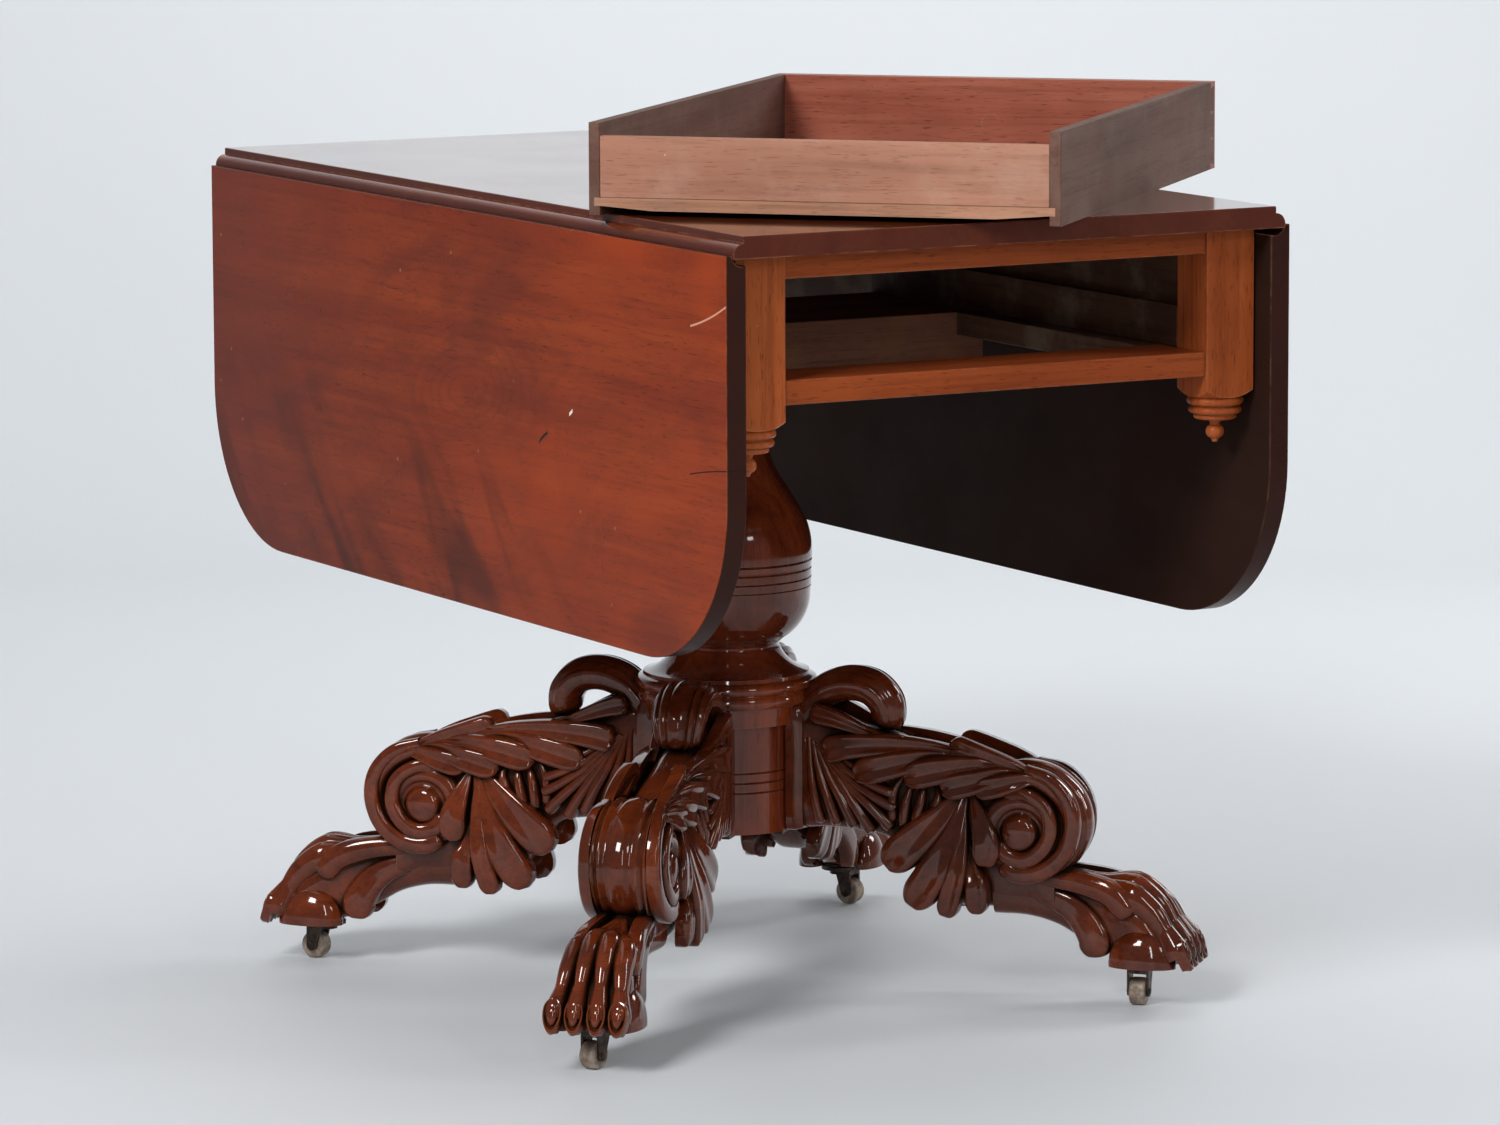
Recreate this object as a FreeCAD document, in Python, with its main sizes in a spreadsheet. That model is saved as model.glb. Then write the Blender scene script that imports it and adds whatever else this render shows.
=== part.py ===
import FreeCAD, Part
import math
import os
import Sketcher

# A drop-leaf table on a turned pedestal with four carved legs on casters.
# +Z is up, +Y runs along the table away from the drawer end, +X to the right leaf.
# The origin is on the floor under the middle of all it covers, the drawer lying on top too.
# Lengths are in millimetres.

Vector = FreeCAD.Vector
doc = FreeCAD.newDocument("drop_leaf_table")
sheet = doc.addObject("Spreadsheet::Sheet", "sizes")

DRIVING = (
    # where the column's axis meets the floor
    ("column_x", -40.6), ("column_y", 32.25),
    # top and leaves
    ("top_height", 737), ("top_width", 520), ("top_length", 1016), ("board_thick", 19),
    ("rule_fillet", 6), ("rule_gap", 0.5), ("pin_rise", 3.5),
    ("leaf_drop", 351), ("leaf_length", 1012), ("leaf_corner", 145), ("edge_round", 1.2),
    # hinges
    ("hinge_spread", 400), ("hinge_width", 38), ("hinge_plate", 1.8), ("hinge_knuckle", 3.2),
    ("hinge_pin", 1.4), ("hinge_inner_flap", 30), ("hinge_leaf_flap", 46), ("hinge_gap", 0.7),
    ("screw_shank", 1.7), ("screw_head", 3.4), ("screw_length", 13),
    # frame
    ("frame_length", 966), ("post_size", 48), ("post_gap", 2), ("post_drop", 20), ("post_bevel", 7),
    ("upper_rail", 21.5), ("opening_height", 84.5), ("lower_rail", 21), ("rail_depth", 72),
    ("rail_inset", 2), ("apron_thick", 16), ("apron_inset", 8.5), ("fly_thick", 19),
    ("fly_height", 60), ("bracket_length", 232), ("bracket_gap", 1.2), ("bracket_pin", 3),
    ("runner_width", 20), ("guide_height", 36), ("kicker_size", 18), ("block_length", 190),
    ("block_height", 57), ("block_side", 0.4), ("glue_block", 22), ("glue_block_length", 70),
    ("finial_radius", 22.8), ("finial_tenon", 9), ("finial_tenon_length", 24), ("wood_gap", 0.1),
    # drawer
    ("drawer_play", 1), ("drawer_headroom", 5.5), ("drawer_depth", 584), ("drawer_front", 18),
    ("drawer_lap", 5), ("drawer_side", 10), ("drawer_back", 9), ("drawer_bottom", 7),
    ("bottom_rise", 8.5), ("bottom_belly", 3.5), ("bottom_groove", 5), ("back_lowered", 11),
    ("tail_length", 20), ("drawer_yaw", 44.8), ("drawer_corner_x", 5), ("drawer_corner_y", -573),
    ("knob_radius", 17), ("knob_tenon", 8.5), ("knob_reach", 30), ("knob_height", 38),
    # pedestal
    ("collar_base", 244), ("collar_radius", 73), ("ring_radius", 81.5), ("neck_radius", 46.5),
    ("neck_height", 311.5), ("vase_radius", 77.5), ("vase_height", 384), ("waist_radius", 34),
    ("waist_height", 514), ("cap_radius", 62), ("column_tenon", 24), ("tenon_length", 40),
    ("drum_radius", 64.3), ("drum_base", 145), ("reed_depth", 2), ("reed_middle", 192),
    # legs
    ("leg_thick", 52), ("leg_reach", 441), ("leg_tongue", 16), ("tongue_depth", 18),
    ("paw_width", 76), ("volute_reach", 277), ("volute_height", 153),
    ("volute_boss", 16), ("volute_stand", 4), ("carving_round", 3),
    ("tie_thick", 4), ("tie_width", 38), ("tie_reach", 58),
    # casters
    ("caster_reach", 388), ("caster_plate", 3), ("caster_plate_radius", 18), ("caster_stem", 4),
    ("caster_stem_length", 22), ("caster_crown", 4), ("caster_crown_radius", 10),
    ("caster_trail", 11), ("wheel_radius", 12.5), ("wheel_crown", 0.16),
    ("wheel_width", 14), ("wheel_clear", 3.5), ("axle_radius", 2.5),
    ("cheek_thick", 2.6), ("caster_gap", 0.5), ("turned_gap", 0.15),
)
LEG_CORNERS = (("front_right", 315), ("rear_right", 45), ("rear_left", 135), ("front_left", 225))
CASTER_TURN = {"front_right": 45, "rear_right": 120, "rear_left": 305, "front_left": 25}


class Size:
    """A length or angle: its number now, and the sheet formula that gives it."""

    def __init__(self, value, formula):
        self.value = float(value)
        self.formula = formula

    def __add__(self, other):
        other = size(other)
        return Size(self.value + other.value, "(%s + %s)" % (self.formula, other.formula))

    def __sub__(self, other):
        other = size(other)
        return Size(self.value - other.value, "(%s - %s)" % (self.formula, other.formula))

    def __mul__(self, other):
        other = size(other)
        return Size(self.value * other.value, "(%s * %s)" % (self.formula, other.formula))

    def __truediv__(self, other):
        other = size(other)
        return Size(self.value / other.value, "(%s / %s)" % (self.formula, other.formula))

    def __neg__(self):
        return Size(-self.value, "(0 - %s)" % self.formula)

    def __radd__(self, other):
        return size(other) + self

    def __rsub__(self, other):
        return size(other) - self

    def __rmul__(self, other):
        return size(other) * self


def size(number):
    """Any plain number as a Size."""
    if isinstance(number, Size):
        return number
    return Size(number, "(%r)" % float(number))


def root(area):
    return Size(math.sqrt(area.value), "sqrt(%s)" % area.formula)


def cosine(angle):
    return Size(math.cos(math.radians(angle.value)), "cos(%s)" % angle.formula)


def sine(angle):
    return Size(math.sin(math.radians(angle.value)), "sin(%s)" % angle.formula)


class Sheet:
    """The driving sizes, by name."""

    def __init__(self):
        for row, (alias, value) in enumerate(DRIVING, 1):
            cell = "A%d" % row
            sheet.set(cell, str(value))
            sheet.setAlias(cell, alias)
            setattr(self, alias, Size(value, "sizes." + alias))


s = Sheet()
doc.recompute()
nodes = []


def bind(thing, **sizes):
    """Ties properties of a document object to formulas of the sheet."""
    for name, length in sizes.items():
        thing.setExpression(name, size(length).formula)


def put(thing, at, turn=0.0, axis=(0, 0, 1)):
    """Places an object: a fixed turn, and a spot from the column's foot, tied to the sheet."""
    spot = (s.column_x + at[0], s.column_y + at[1], size(at[2]))
    base = Vector(*[length.value for length in spot])
    thing.Placement = FreeCAD.Placement(base, FreeCAD.Rotation(Vector(*axis), turn))
    for letter, length in zip("xyz", spot):
        thing.setExpression("Placement.Base." + letter, length.formula)


def new_body(label, at=(0, 0, 0), turn=0.0, keep=True):
    """An empty body; a kept one is a node of its own."""
    body = doc.addObject("PartDesign::Body", label)
    body.Label = label
    put(body, at, turn)
    if keep:
        nodes.append(body)
    return body


def new_sketch(body, plane, lift=0):
    """A sketch on one of the body's own origin planes, lifted along its normal."""
    sketch = body.newObject("Sketcher::SketchObject", body.Label + "_sketch")
    origin = [piece for piece in body.Origin.OriginFeatures if piece.Role == plane][0]
    sketch.AttachmentSupport = (origin, "")
    sketch.MapMode = "FlatFace"
    sketch.setExpression("AttachmentOffset.Base.z", size(lift).formula)
    return sketch


def arc_between(start, end, radius, side):
    """The shorter arc from start to end; side 1 turns left, -1 turns right."""
    chord = end - start
    middle = (start + end) * 0.5
    rise = math.sqrt(max(radius * radius - chord.Length * chord.Length / 4, 0.0))
    left = Vector(-chord.y, chord.x, 0).normalize()
    centre = middle + left * (rise * side)
    first, last = (start, end) if side > 0 else (end, start)
    angles = [math.atan2(point.y - centre.y, point.x - centre.x) for point in (first, last)]
    circle = Part.Circle(centre, Vector(0, 0, 1), radius)
    return Part.ArcOfCircle(circle, angles[0], angles[1])


def outline(sketch, corners):
    """A closed outline through corners (x, y), or (x, y, radius, side) where an arc follows."""
    spots = [Vector(size(corner[0]).value, size(corner[1]).value, 0) for corner in corners]
    first = sketch.GeometryCount
    ends = []
    for number, corner in enumerate(corners):
        start, end = spots[number], spots[(number + 1) % len(spots)]
        if len(corner) == 2:
            sketch.addGeometry(Part.LineSegment(start, end))
            ends.append((1, 2))
        else:
            sketch.addGeometry(arc_between(start, end, size(corner[2]).value, corner[3]))
            ends.append((1, 2) if corner[3] > 0 else (2, 1))
    for number, corner in enumerate(corners):
        following = (number + 1) % len(corners)
        sketch.addConstraint(Sketcher.Constraint(
            "Coincident", first + number, ends[number][1], first + following, ends[following][0]))
        for kind, length in (("DistanceX", corner[0]), ("DistanceY", corner[1])):
            tie(sketch, Sketcher.Constraint(
                kind, -1, 1, first + number, ends[number][0], size(length).value), length)
        if len(corner) > 2:
            tie(sketch, Sketcher.Constraint(
                "Radius", first + number, size(corner[2]).value), corner[2])
    return sketch


def tie(sketch, constraint, length):
    """Adds a constraint and ties it to the sheet."""
    number = sketch.addConstraint(constraint)
    sketch.setExpression("Constraints[%d]" % number, size(length).formula)


def rectangle(sketch, left, low, right, high):
    return outline(sketch, ((left, low), (right, low), (right, high), (left, high)))


def ring(sketch, across, along, radius):
    """A circle about (across, along)."""
    centre = Vector(size(across).value, size(along).value, 0)
    number = sketch.addGeometry(Part.Circle(centre, Vector(0, 0, 1), size(radius).value))
    for kind, length in (("DistanceX", across), ("DistanceY", along)):
        tie(sketch, Sketcher.Constraint(kind, -1, 1, number, 3, size(length).value), length)
    tie(sketch, Sketcher.Constraint("Radius", number, size(radius).value), radius)
    return sketch


def pad(body, sketch, length, centred=False, down=False):
    """Material along the sketch's normal, to both sides when centred."""
    feature = body.newObject("PartDesign::Pad", body.Label + "_pad")
    feature.Profile = sketch
    feature.SideType = "Symmetric" if centred else "One side"
    feature.Reversed = down
    bind(feature, Length=length)
    return feature


def cut(body, sketch, length, centred=False, up=False):
    """A pocket below the sketch, above it when up, or to both sides when centred."""
    feature = body.newObject("PartDesign::Pocket", body.Label + "_pocket")
    feature.Profile = sketch
    feature.SideType = "Symmetric" if centred else "One side"
    feature.Reversed = up
    bind(feature, Length=length)
    return feature


def turned(body, sketch, kind="Revolution"):
    """A shape turned about the sketch's upright axis; kind Groove takes material away."""
    feature = body.newObject("PartDesign::" + kind, body.Label + "_turned")
    feature.Profile = sketch
    feature.ReferenceAxis = (sketch, ["V_Axis"])
    feature.Angle = 360
    return feature


def rounded(body, base, radius, picks=None):
    """Rounds every edge of a feature, or those that picks chooses."""
    doc.recompute()
    feature = body.newObject("PartDesign::Fillet", body.Label + "_round")
    names = ["Edge%d" % number for number, edge in enumerate(base.Shape.Edges, 1)
             if picks is None or picks(edge)]
    feature.Base = (base, names)
    bind(feature, Radius=radius)
    return feature


def row(body, feature, length, count):
    """Repeats a feature along the body's Y axis, evenly over a length."""
    pattern = body.newObject("PartDesign::LinearPattern", body.Label + "_row")
    axis = [piece for piece in body.Origin.OriginFeatures if piece.Role == "Y_Axis"][0]
    pattern.Originals = [feature]
    pattern.Direction = (axis, [""])
    bind(pattern, Length=length)
    pattern.Occurrences = count
    body.Tip = pattern
    return pattern


def around(body, features, count):
    """Repeats features evenly about the body's Z axis."""
    pattern = body.newObject("PartDesign::PolarPattern", body.Label + "_around")
    axis = [piece for piece in body.Origin.OriginFeatures if piece.Role == "Z_Axis"][0]
    pattern.Originals = features
    pattern.Axis = (axis, [""])
    pattern.Angle = 360
    pattern.Occurrences = count
    body.Tip = pattern
    return pattern


def board(label, along_x, along_y, along_z, at, turn=0.0, keep=True):
    """A plain board with its lowest corner at a point and its arrises eased."""
    body = new_body(label, at, turn, keep)
    block = pad(body, rectangle(new_sketch(body, "XY_Plane"), 0, 0, along_x, along_y), along_z)
    rounded(body, block, s.edge_round)
    return body


def drill(body, spots, radius, depth, lift=0, up=False):
    """Round holes at spots of the body's own XY plane, lifted to a height."""
    sketch = new_sketch(body, "XY_Plane", lift)
    for across, along in spots:
        ring(sketch, across, along, radius)
    return cut(body, sketch, depth, up=up)


def group(label, members):
    """Separate like solids that share one node."""
    compound = doc.addObject("Part::Compound", label)
    compound.Label = label
    compound.Links = members
    nodes.append(compound)
    return compound


# Sizes that follow from the driving ones.
half_top = s.top_width / 2
top_base = s.top_height - s.board_thick
pin_height = top_base + s.pin_rise
rule_radius = s.board_thick - s.rule_fillet - s.pin_rise
leaf_outer = half_top + s.rule_fillet + rule_radius
leaf_inner = leaf_outer - s.board_thick
post_outer = leaf_inner - s.post_gap
post_inner = post_outer - s.post_size
frame_end = s.frame_length / 2
post_base = top_base - s.upper_rail - s.opening_height - s.lower_rail - s.post_drop
rail_base = post_base + s.post_drop
slide_height = rail_base + s.lower_rail
opening_top = top_base - s.upper_rail
caster_top = s.wheel_radius * 2 + s.wheel_clear + s.caster_crown
paw_base = caster_top + s.caster_gap + s.caster_plate
apron_inner = post_inner + s.apron_inset
apron_outer = apron_inner + s.apron_thick
apron_height = top_base - rail_base
between_posts = s.frame_length - 2 * s.post_size
post_back = frame_end - s.post_size
cut_over = size(5)


def lower_edge(radius, drop):
    """How far a circle about the pin reaches sideways, a drop below the pin."""
    return root(radius * radius - drop * drop)


def hinge_slot(sketch, side):
    """The room for one hinge's knuckle and flaps under the top's edge."""
    knuckle = s.hinge_knuckle + s.hinge_gap
    slot = s.hinge_plate + s.hinge_gap / 2
    drop = pin_height - top_base - slot
    reach = lower_edge(knuckle, drop)
    below = top_base - 1
    height = top_base + slot
    pin = half_top * side
    outline(sketch, (
        (pin - s.hinge_inner_flap * side, below), (pin + (rule_radius + 2) * side, below),
        (pin + (rule_radius + 2) * side, height),
        (pin + reach * side, height, knuckle, side), (pin, pin_height + knuckle, knuckle, side),
        (pin - reach * side, height), (pin - s.hinge_inner_flap * side, height)))


def screw_rows(first, step, count, spread):
    """Screw places: count along X from first, one row each side of Y = 0."""
    return [(first + step * number, spread * sign) for number in range(count) for sign in (-1, 1)]


INNER_SCREWS = screw_rows(half_top - s.hinge_inner_flap * 0.72, size(0), 1, s.hinge_width * 0.28)


def top_board():
    """The fixed middle board, with the convex half of a rule joint along both sides."""
    body = new_body("top_board")
    reach = lower_edge(rule_radius, pin_height - top_base)
    step = s.top_height - s.rule_fillet
    section = outline(new_sketch(body, "XZ_Plane"), (
        (-half_top - reach, top_base), (half_top + reach, top_base, rule_radius, 1),
        (half_top, step), (half_top, s.top_height), (-half_top, s.top_height),
        (-half_top, step, rule_radius, 1)))
    slab = pad(body, section, s.top_length, centred=True)
    level = s.top_height.value
    rounded(body, slab, s.edge_round, lambda edge: edge.BoundBox.ZMin > level - 0.01)
    slots = new_sketch(body, "XZ_Plane", s.hinge_spread)
    hinge_slot(slots, 1)
    hinge_slot(slots, -1)
    slot = cut(body, slots, s.hinge_width + s.hinge_gap, centred=True)
    row(body, slot, s.hinge_spread * 2, 3)
    spots = [(across * side, along - s.hinge_spread)
             for side in (-1, 1) for across, along in INNER_SCREWS]
    holes = drill(body, spots, s.screw_shank + s.wood_gap, s.screw_length, top_base, up=True)
    row(body, holes, s.hinge_spread * 2, 3)


def leaf(label, turn):
    """A hinged leaf, hanging: round lower corners and a cove that rolls over the top's edge."""
    body = new_body(label, turn=turn)
    head = pin_height - s.rule_gap
    foot = head - s.leaf_drop
    half = s.leaf_length / 2
    corner = s.leaf_corner
    face = outline(new_sketch(body, "YZ_Plane", leaf_inner), (
        (-half, foot + corner, corner, 1), (-half + corner, foot),
        (half - corner, foot, corner, 1), (half, foot + corner), (half, head), (-half, head)))
    slab = pad(body, face, s.board_thick)
    outer, upper = leaf_outer.value - 0.01, head.value - 0.01
    rounded(body, slab, s.edge_round,
            lambda edge: edge.BoundBox.XMin > outer or edge.BoundBox.ZMax < upper)
    cove = ring(new_sketch(body, "XZ_Plane"), half_top, pin_height, rule_radius + s.rule_gap)
    cut(body, cove, s.leaf_length + cut_over, centred=True)
    recess = new_sketch(body, "XZ_Plane", s.hinge_spread)
    rectangle(recess, leaf_inner - 1, pin_height - s.hinge_leaf_flap,
              leaf_inner + s.hinge_plate, head + 1)
    flap = cut(body, recess, s.hinge_width + s.hinge_gap, centred=True)
    row(body, flap, s.hinge_spread * 2, 3)
    holes = new_sketch(body, "YZ_Plane", leaf_inner)
    for along, drop in LEAF_SCREWS:
        ring(holes, along - s.hinge_spread, pin_height - drop, s.screw_shank + s.wood_gap)
    hole = cut(body, holes, s.screw_length, up=True)
    row(body, hole, s.hinge_spread * 2, 3)


LEAF_SCREWS = [(s.hinge_width * 0.28 * sign, s.hinge_leaf_flap * share)
               for share in (0.48, 0.84) for sign in (-1, 1)]


def knuckle_ring(body, centre_gap):
    """The bore of a hinge knuckle about the pin."""
    bore = ring(new_sketch(body, "XZ_Plane"), half_top, pin_height, s.hinge_pin + centre_gap)
    cut(body, bore, s.hinge_width * 2, centred=True)


def hinge_inner(label, at, turn):
    """The flap screwed under the top, with the two outer knuckles."""
    body = new_body(label, at, turn, keep=False)
    knuckle = s.hinge_knuckle
    reach = root(knuckle * knuckle - (pin_height - top_base - s.hinge_plate)
                 * (pin_height - top_base - s.hinge_plate))
    flap = rectangle(new_sketch(body, "XZ_Plane"), half_top - s.hinge_inner_flap, top_base,
                     half_top - reach, top_base + s.hinge_plate)
    pad(body, flap, s.hinge_width, centred=True)
    barrel = ring(new_sketch(body, "XZ_Plane"), half_top, pin_height, knuckle)
    pad(body, barrel, s.hinge_width, centred=True)
    room = knuckle + s.hinge_gap
    middle = rectangle(new_sketch(body, "XZ_Plane"), half_top - room, pin_height - room * 2,
                       half_top + room, pin_height + room)
    cut(body, middle, s.hinge_width / 3 + s.hinge_gap, centred=True)
    knuckle_ring(body, s.wood_gap)
    spots = drill(body, INNER_SCREWS, s.screw_head, s.hinge_plate * 3, top_base - s.hinge_plate,
                  up=True)
    body.Tip = spots
    return body


def hinge_outer(label, at, turn):
    """The longer flap let into the leaf, with the middle knuckle."""
    body = new_body(label, at, turn, keep=False)
    knuckle = s.hinge_knuckle
    share = s.hinge_width / 3 - s.hinge_gap
    head = pin_height - s.rule_gap - rule_radius
    plate = rectangle(new_sketch(body, "XZ_Plane"), leaf_inner, pin_height - s.hinge_leaf_flap,
                      leaf_inner + s.hinge_plate, head)
    pad(body, plate, s.hinge_width, centred=True)
    neck = rectangle(new_sketch(body, "XZ_Plane"), leaf_inner, head - 1,
                     leaf_inner + s.hinge_plate, pin_height)
    pad(body, neck, share, centred=True)
    barrel = ring(new_sketch(body, "XZ_Plane"), half_top, pin_height, knuckle)
    pad(body, barrel, share, centred=True)
    knuckle_ring(body, s.turned_gap)
    holes = new_sketch(body, "YZ_Plane", leaf_inner - 1)
    for along, drop in LEAF_SCREWS:
        ring(holes, along, pin_height - drop, s.screw_head)
    cut(body, holes, s.hinge_plate * 3, up=True)
    return body


def screw(label, at, axis=(0, 0, 1), turn=0.0):
    """A flat-headed screw, head at its own origin, shank along its own +Z."""
    head = doc.addObject("Part::Cylinder", label + "_head")
    bind(head, Radius=s.screw_head - s.wood_gap, Height=s.hinge_plate)
    shank = doc.addObject("Part::Cylinder", label + "_shank")
    bind(shank, Radius=s.screw_shank, Height=s.screw_length - 1)
    fused = doc.addObject("Part::Fuse", label)
    fused.Base = head
    fused.Tool = shank
    put(fused, at, turn, axis)
    return fused


def hinges():
    """Three table hinges to each leaf, with their pins and screws."""
    inner, pins, inner_screws = [], [], []
    for hand, turn in (("right", 0), ("left", 180)):
        side = 1 if turn == 0 else -1
        outer, outer_screws = [], []
        for number in (-1, 0, 1):
            place = (0, s.hinge_spread * number, 0)
            name = "%s_%d" % (hand, number + 2)
            inner.append(hinge_inner("hinge_plate_" + name, place, turn))
            outer.append(hinge_outer("hinge_flap_" + name, place, turn))
            pin = doc.addObject("Part::Cylinder", "hinge_pin_" + name)
            bind(pin, Radius=s.hinge_pin, Height=s.hinge_width)
            along = s.hinge_spread * number + s.hinge_width / 2
            put(pin, (half_top * side, along, pin_height), 90, (1, 0, 0))
            pins.append(pin)
            for count, (across, offset) in enumerate(INNER_SCREWS):
                spot = (across * side, s.hinge_spread * number + offset, top_base)
                inner_screws.append(screw("plate_screw_%s_%d" % (name, count), spot))
            for count, (offset, drop) in enumerate(LEAF_SCREWS):
                spot = (leaf_inner * side, s.hinge_spread * number + offset, pin_height - drop)
                outer_screws.append(screw("flap_screw_%s_%d" % (name, count), spot,
                                          (0, 1, 0), 90 * side))
        group("hinge_flaps_" + hand, outer)
        group("hinge_flap_screws_" + hand, outer_screws)
    group("hinge_plates", inner)
    group("hinge_pins", pins)
    group("hinge_plate_screws", inner_screws)


def corner_post(label, side, end):
    """A square corner post, bevelled to a round at its foot, bored for its drop finial."""
    centre_x = (post_outer - s.post_size / 2) * side
    centre_y = (frame_end - s.post_size / 2) * end
    body = new_body(label, (centre_x, centre_y, post_base))
    half = s.post_size / 2
    shaft = pad(body, rectangle(new_sketch(body, "XY_Plane"), -half, -half, half, half),
                top_base - post_base)
    upright = rounded(body, shaft, s.edge_round, lambda edge: edge.Length > half.value * 3)
    doc.recompute()
    bevel = outline(new_sketch(body, "XZ_Plane"), (
        (half, -1), (half * 1.6, -1), (half * 1.6, s.post_bevel * 1.6),
        (half * 1.42, s.post_bevel, s.post_size, -1), (half, 0)))
    turned(body, bevel, "Groove")
    drill(body, [(0, 0)], s.finial_tenon + s.wood_gap, s.finial_tenon_length + 1, up=True)
    return upright


def drop_finial(label, side, end):
    """A turned drop under a post: three rings, a neck and a ball, on a round tenon."""
    centre_x = (post_outer - s.post_size / 2) * side
    centre_y = (frame_end - s.post_size / 2) * end
    body = new_body(label, (centre_x, centre_y, post_base))
    wide = s.finial_radius
    profile = outline(new_sketch(body, "XZ_Plane"), (
        (0, -40), (wide * 0.1, -40), (wide * 0.16, -37), (wide * 0.2, -36.6, 6.4, 1),
        (wide * 0.2, -25.2, 4, -1), (wide * 0.34, -20.5), (wide * 0.72, -20, 2.6, 1),
        (wide * 0.8, -16), (wide * 0.78, -15), (wide * 0.94, -14.6, 3, 1), (wide * 0.94, -9.2),
        (wide * 0.86, -8.6), (wide * 0.86, -7.6), (wide, -7, 3.6, 1), (wide, -0.8),
        (wide * 0.96, 0), (s.finial_tenon, 0), (s.finial_tenon, s.finial_tenon_length),
        (0, s.finial_tenon_length)))
    turned(body, profile)


def frame():
    """The bed under the top: posts, rails, aprons, drawer supports and the bearer block."""
    for end_name, end in (("front", -1), ("rear", 1)):
        for hand, side in (("right", 1), ("left", -1)):
            corner_post("post_%s_%s" % (end_name, hand), side, end)
            drop_finial("finial_%s_%s" % (end_name, hand), side, end)
    width = post_inner * 2
    front = -frame_end + s.rail_inset
    board("rail_upper", width, s.post_size - s.rail_inset, s.upper_rail,
          (-post_inner, front, opening_top))
    board("rail_lower", width, s.rail_depth, s.lower_rail, (-post_inner, front, rail_base))
    for hand, side in (("right", 0), ("left", 1)):
        left_edge = apron_inner * (1 - 2 * side) - s.apron_thick * side
        board("apron_" + hand, s.apron_thick, between_posts, apron_height,
              (left_edge, -post_back, rail_base))
    board("apron_rear", width, s.fly_thick, apron_height,
          (-post_inner, frame_end - s.rail_inset - s.fly_thick, rail_base))
    bearer_block()
    drawer_supports()
    fly_supports()
    glue_blocks()


def bearer_block():
    """The thick block across the frame that the column is tenoned and wedged into."""
    half = apron_inner - s.block_side
    body = new_body("bearer_block", (0, 0, slide_height - s.block_height))
    shape = rectangle(new_sketch(body, "XY_Plane"), -half, -s.block_length / 2,
                      half, s.block_length / 2)
    block = pad(body, shape, s.block_height)
    rounded(body, block, s.edge_round)
    drill(body, [(0, 0)], s.column_tenon + s.wood_gap, s.tenon_length + 1, up=True)


def drawer_supports():
    """Runners under the drawer, guides beside it and kickers above it, left and right."""
    back_of_rail = s.rail_depth - frame_end + s.rail_inset
    run = -s.block_length / 2 - back_of_rail
    guide_run = post_back + s.block_length / 2
    kicker_run = post_back + s.block_length / 2
    wide = s.runner_width + s.apron_inset
    runners, guides, kickers = [], [], []
    for hand, side in (("right", 1), ("left", -1)):
        start = (post_inner - s.runner_width) if side > 0 else -apron_inner
        runners.append(board("runner_" + hand, wide, run, s.lower_rail,
                             (start, back_of_rail, rail_base), keep=False))
        start = post_inner if side > 0 else -apron_inner
        guides.append(board("guide_" + hand, s.apron_inset, guide_run, s.guide_height,
                            (start, -post_back, slide_height), keep=False))
        start = (apron_inner - s.kicker_size) if side > 0 else -apron_inner
        kickers.append(board("kicker_" + hand, s.kicker_size, kicker_run, s.kicker_size,
                             (start, -post_back, top_base - s.kicker_size), keep=False))
    group("drawer_runners", runners)
    group("drawer_guides", guides)
    group("drawer_kickers", kickers)


def fly_supports():
    """Outer rails outside the aprons, and the swinging brackets let into them on iron pins."""
    brackets, pins = [], []
    fixed_end = post_back - s.bracket_length - s.block_length / 2
    low = top_base - s.fly_height
    for hand, side in (("right", 1), ("left", -1)):
        start = apron_outer if side > 0 else -apron_outer - s.fly_thick
        pieces = [
            board("fly_rail_%s_front" % hand, s.fly_thick, fixed_end - s.bracket_gap * 2,
                  s.fly_height, (start, -post_back, low), keep=False),
            board("fly_rail_%s_middle" % hand, s.fly_thick, s.block_length, s.fly_height,
                  (start, -s.block_length / 2, low), keep=False),
            board("fly_rail_%s_rear" % hand, s.fly_thick, fixed_end - s.bracket_gap * 2,
                  s.fly_height, (start, s.block_length / 2 + s.bracket_length
                                 + s.bracket_gap * 2, low), keep=False)]
        group("fly_rail_" + hand, pieces)
        for name, end in (("front", -1), ("rear", 1)):
            tag = "%s_%s" % (name, hand)
            brackets.append(fly_bracket("fly_bracket_" + tag, side, end))
            pin = doc.addObject("Part::Cylinder", "bracket_pin_" + tag)
            bind(pin, Radius=s.bracket_pin, Height=s.fly_height - 2)
            put(pin, ((apron_outer + s.fly_thick / 2) * side,
                      (s.block_length / 2 + s.bracket_gap + s.fly_thick / 2) * end, low + 1))
            pins.append(pin)
    group("fly_brackets", brackets)
    group("bracket_pins", pins)


def fly_bracket(label, side, end):
    """A bracket that swings out under the raised leaf, its free end swept up in an ogee."""
    start = apron_outer if side > 0 else -apron_outer - s.fly_thick
    root_end = (s.block_length / 2 + s.bracket_gap) * end
    body = new_body(label, (start, 0, 0), keep=False)
    high = top_base - s.bracket_gap / 2
    low = top_base - s.fly_height
    tip = root_end + s.bracket_length * end
    tip_low = high - s.fly_height * 0.3
    knee = root_end + s.bracket_length * 0.45 * end
    middle = root_end + s.bracket_length * 0.72 * end
    bend = s.bracket_length * 0.35
    shape = outline(new_sketch(body, "YZ_Plane"), (
        (root_end, low), (knee, low, bend, end),
        (middle, (low + tip_low) / 2, bend, -end), (tip, tip_low), (tip, high), (root_end, high)))
    pad(body, shape, s.fly_thick)
    middle_line = s.fly_thick / 2
    drill(body, [(middle_line, root_end + middle_line * end)], s.bracket_pin + s.turned_gap,
          s.fly_height + cut_over, low - 1, up=True)
    return body


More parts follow.
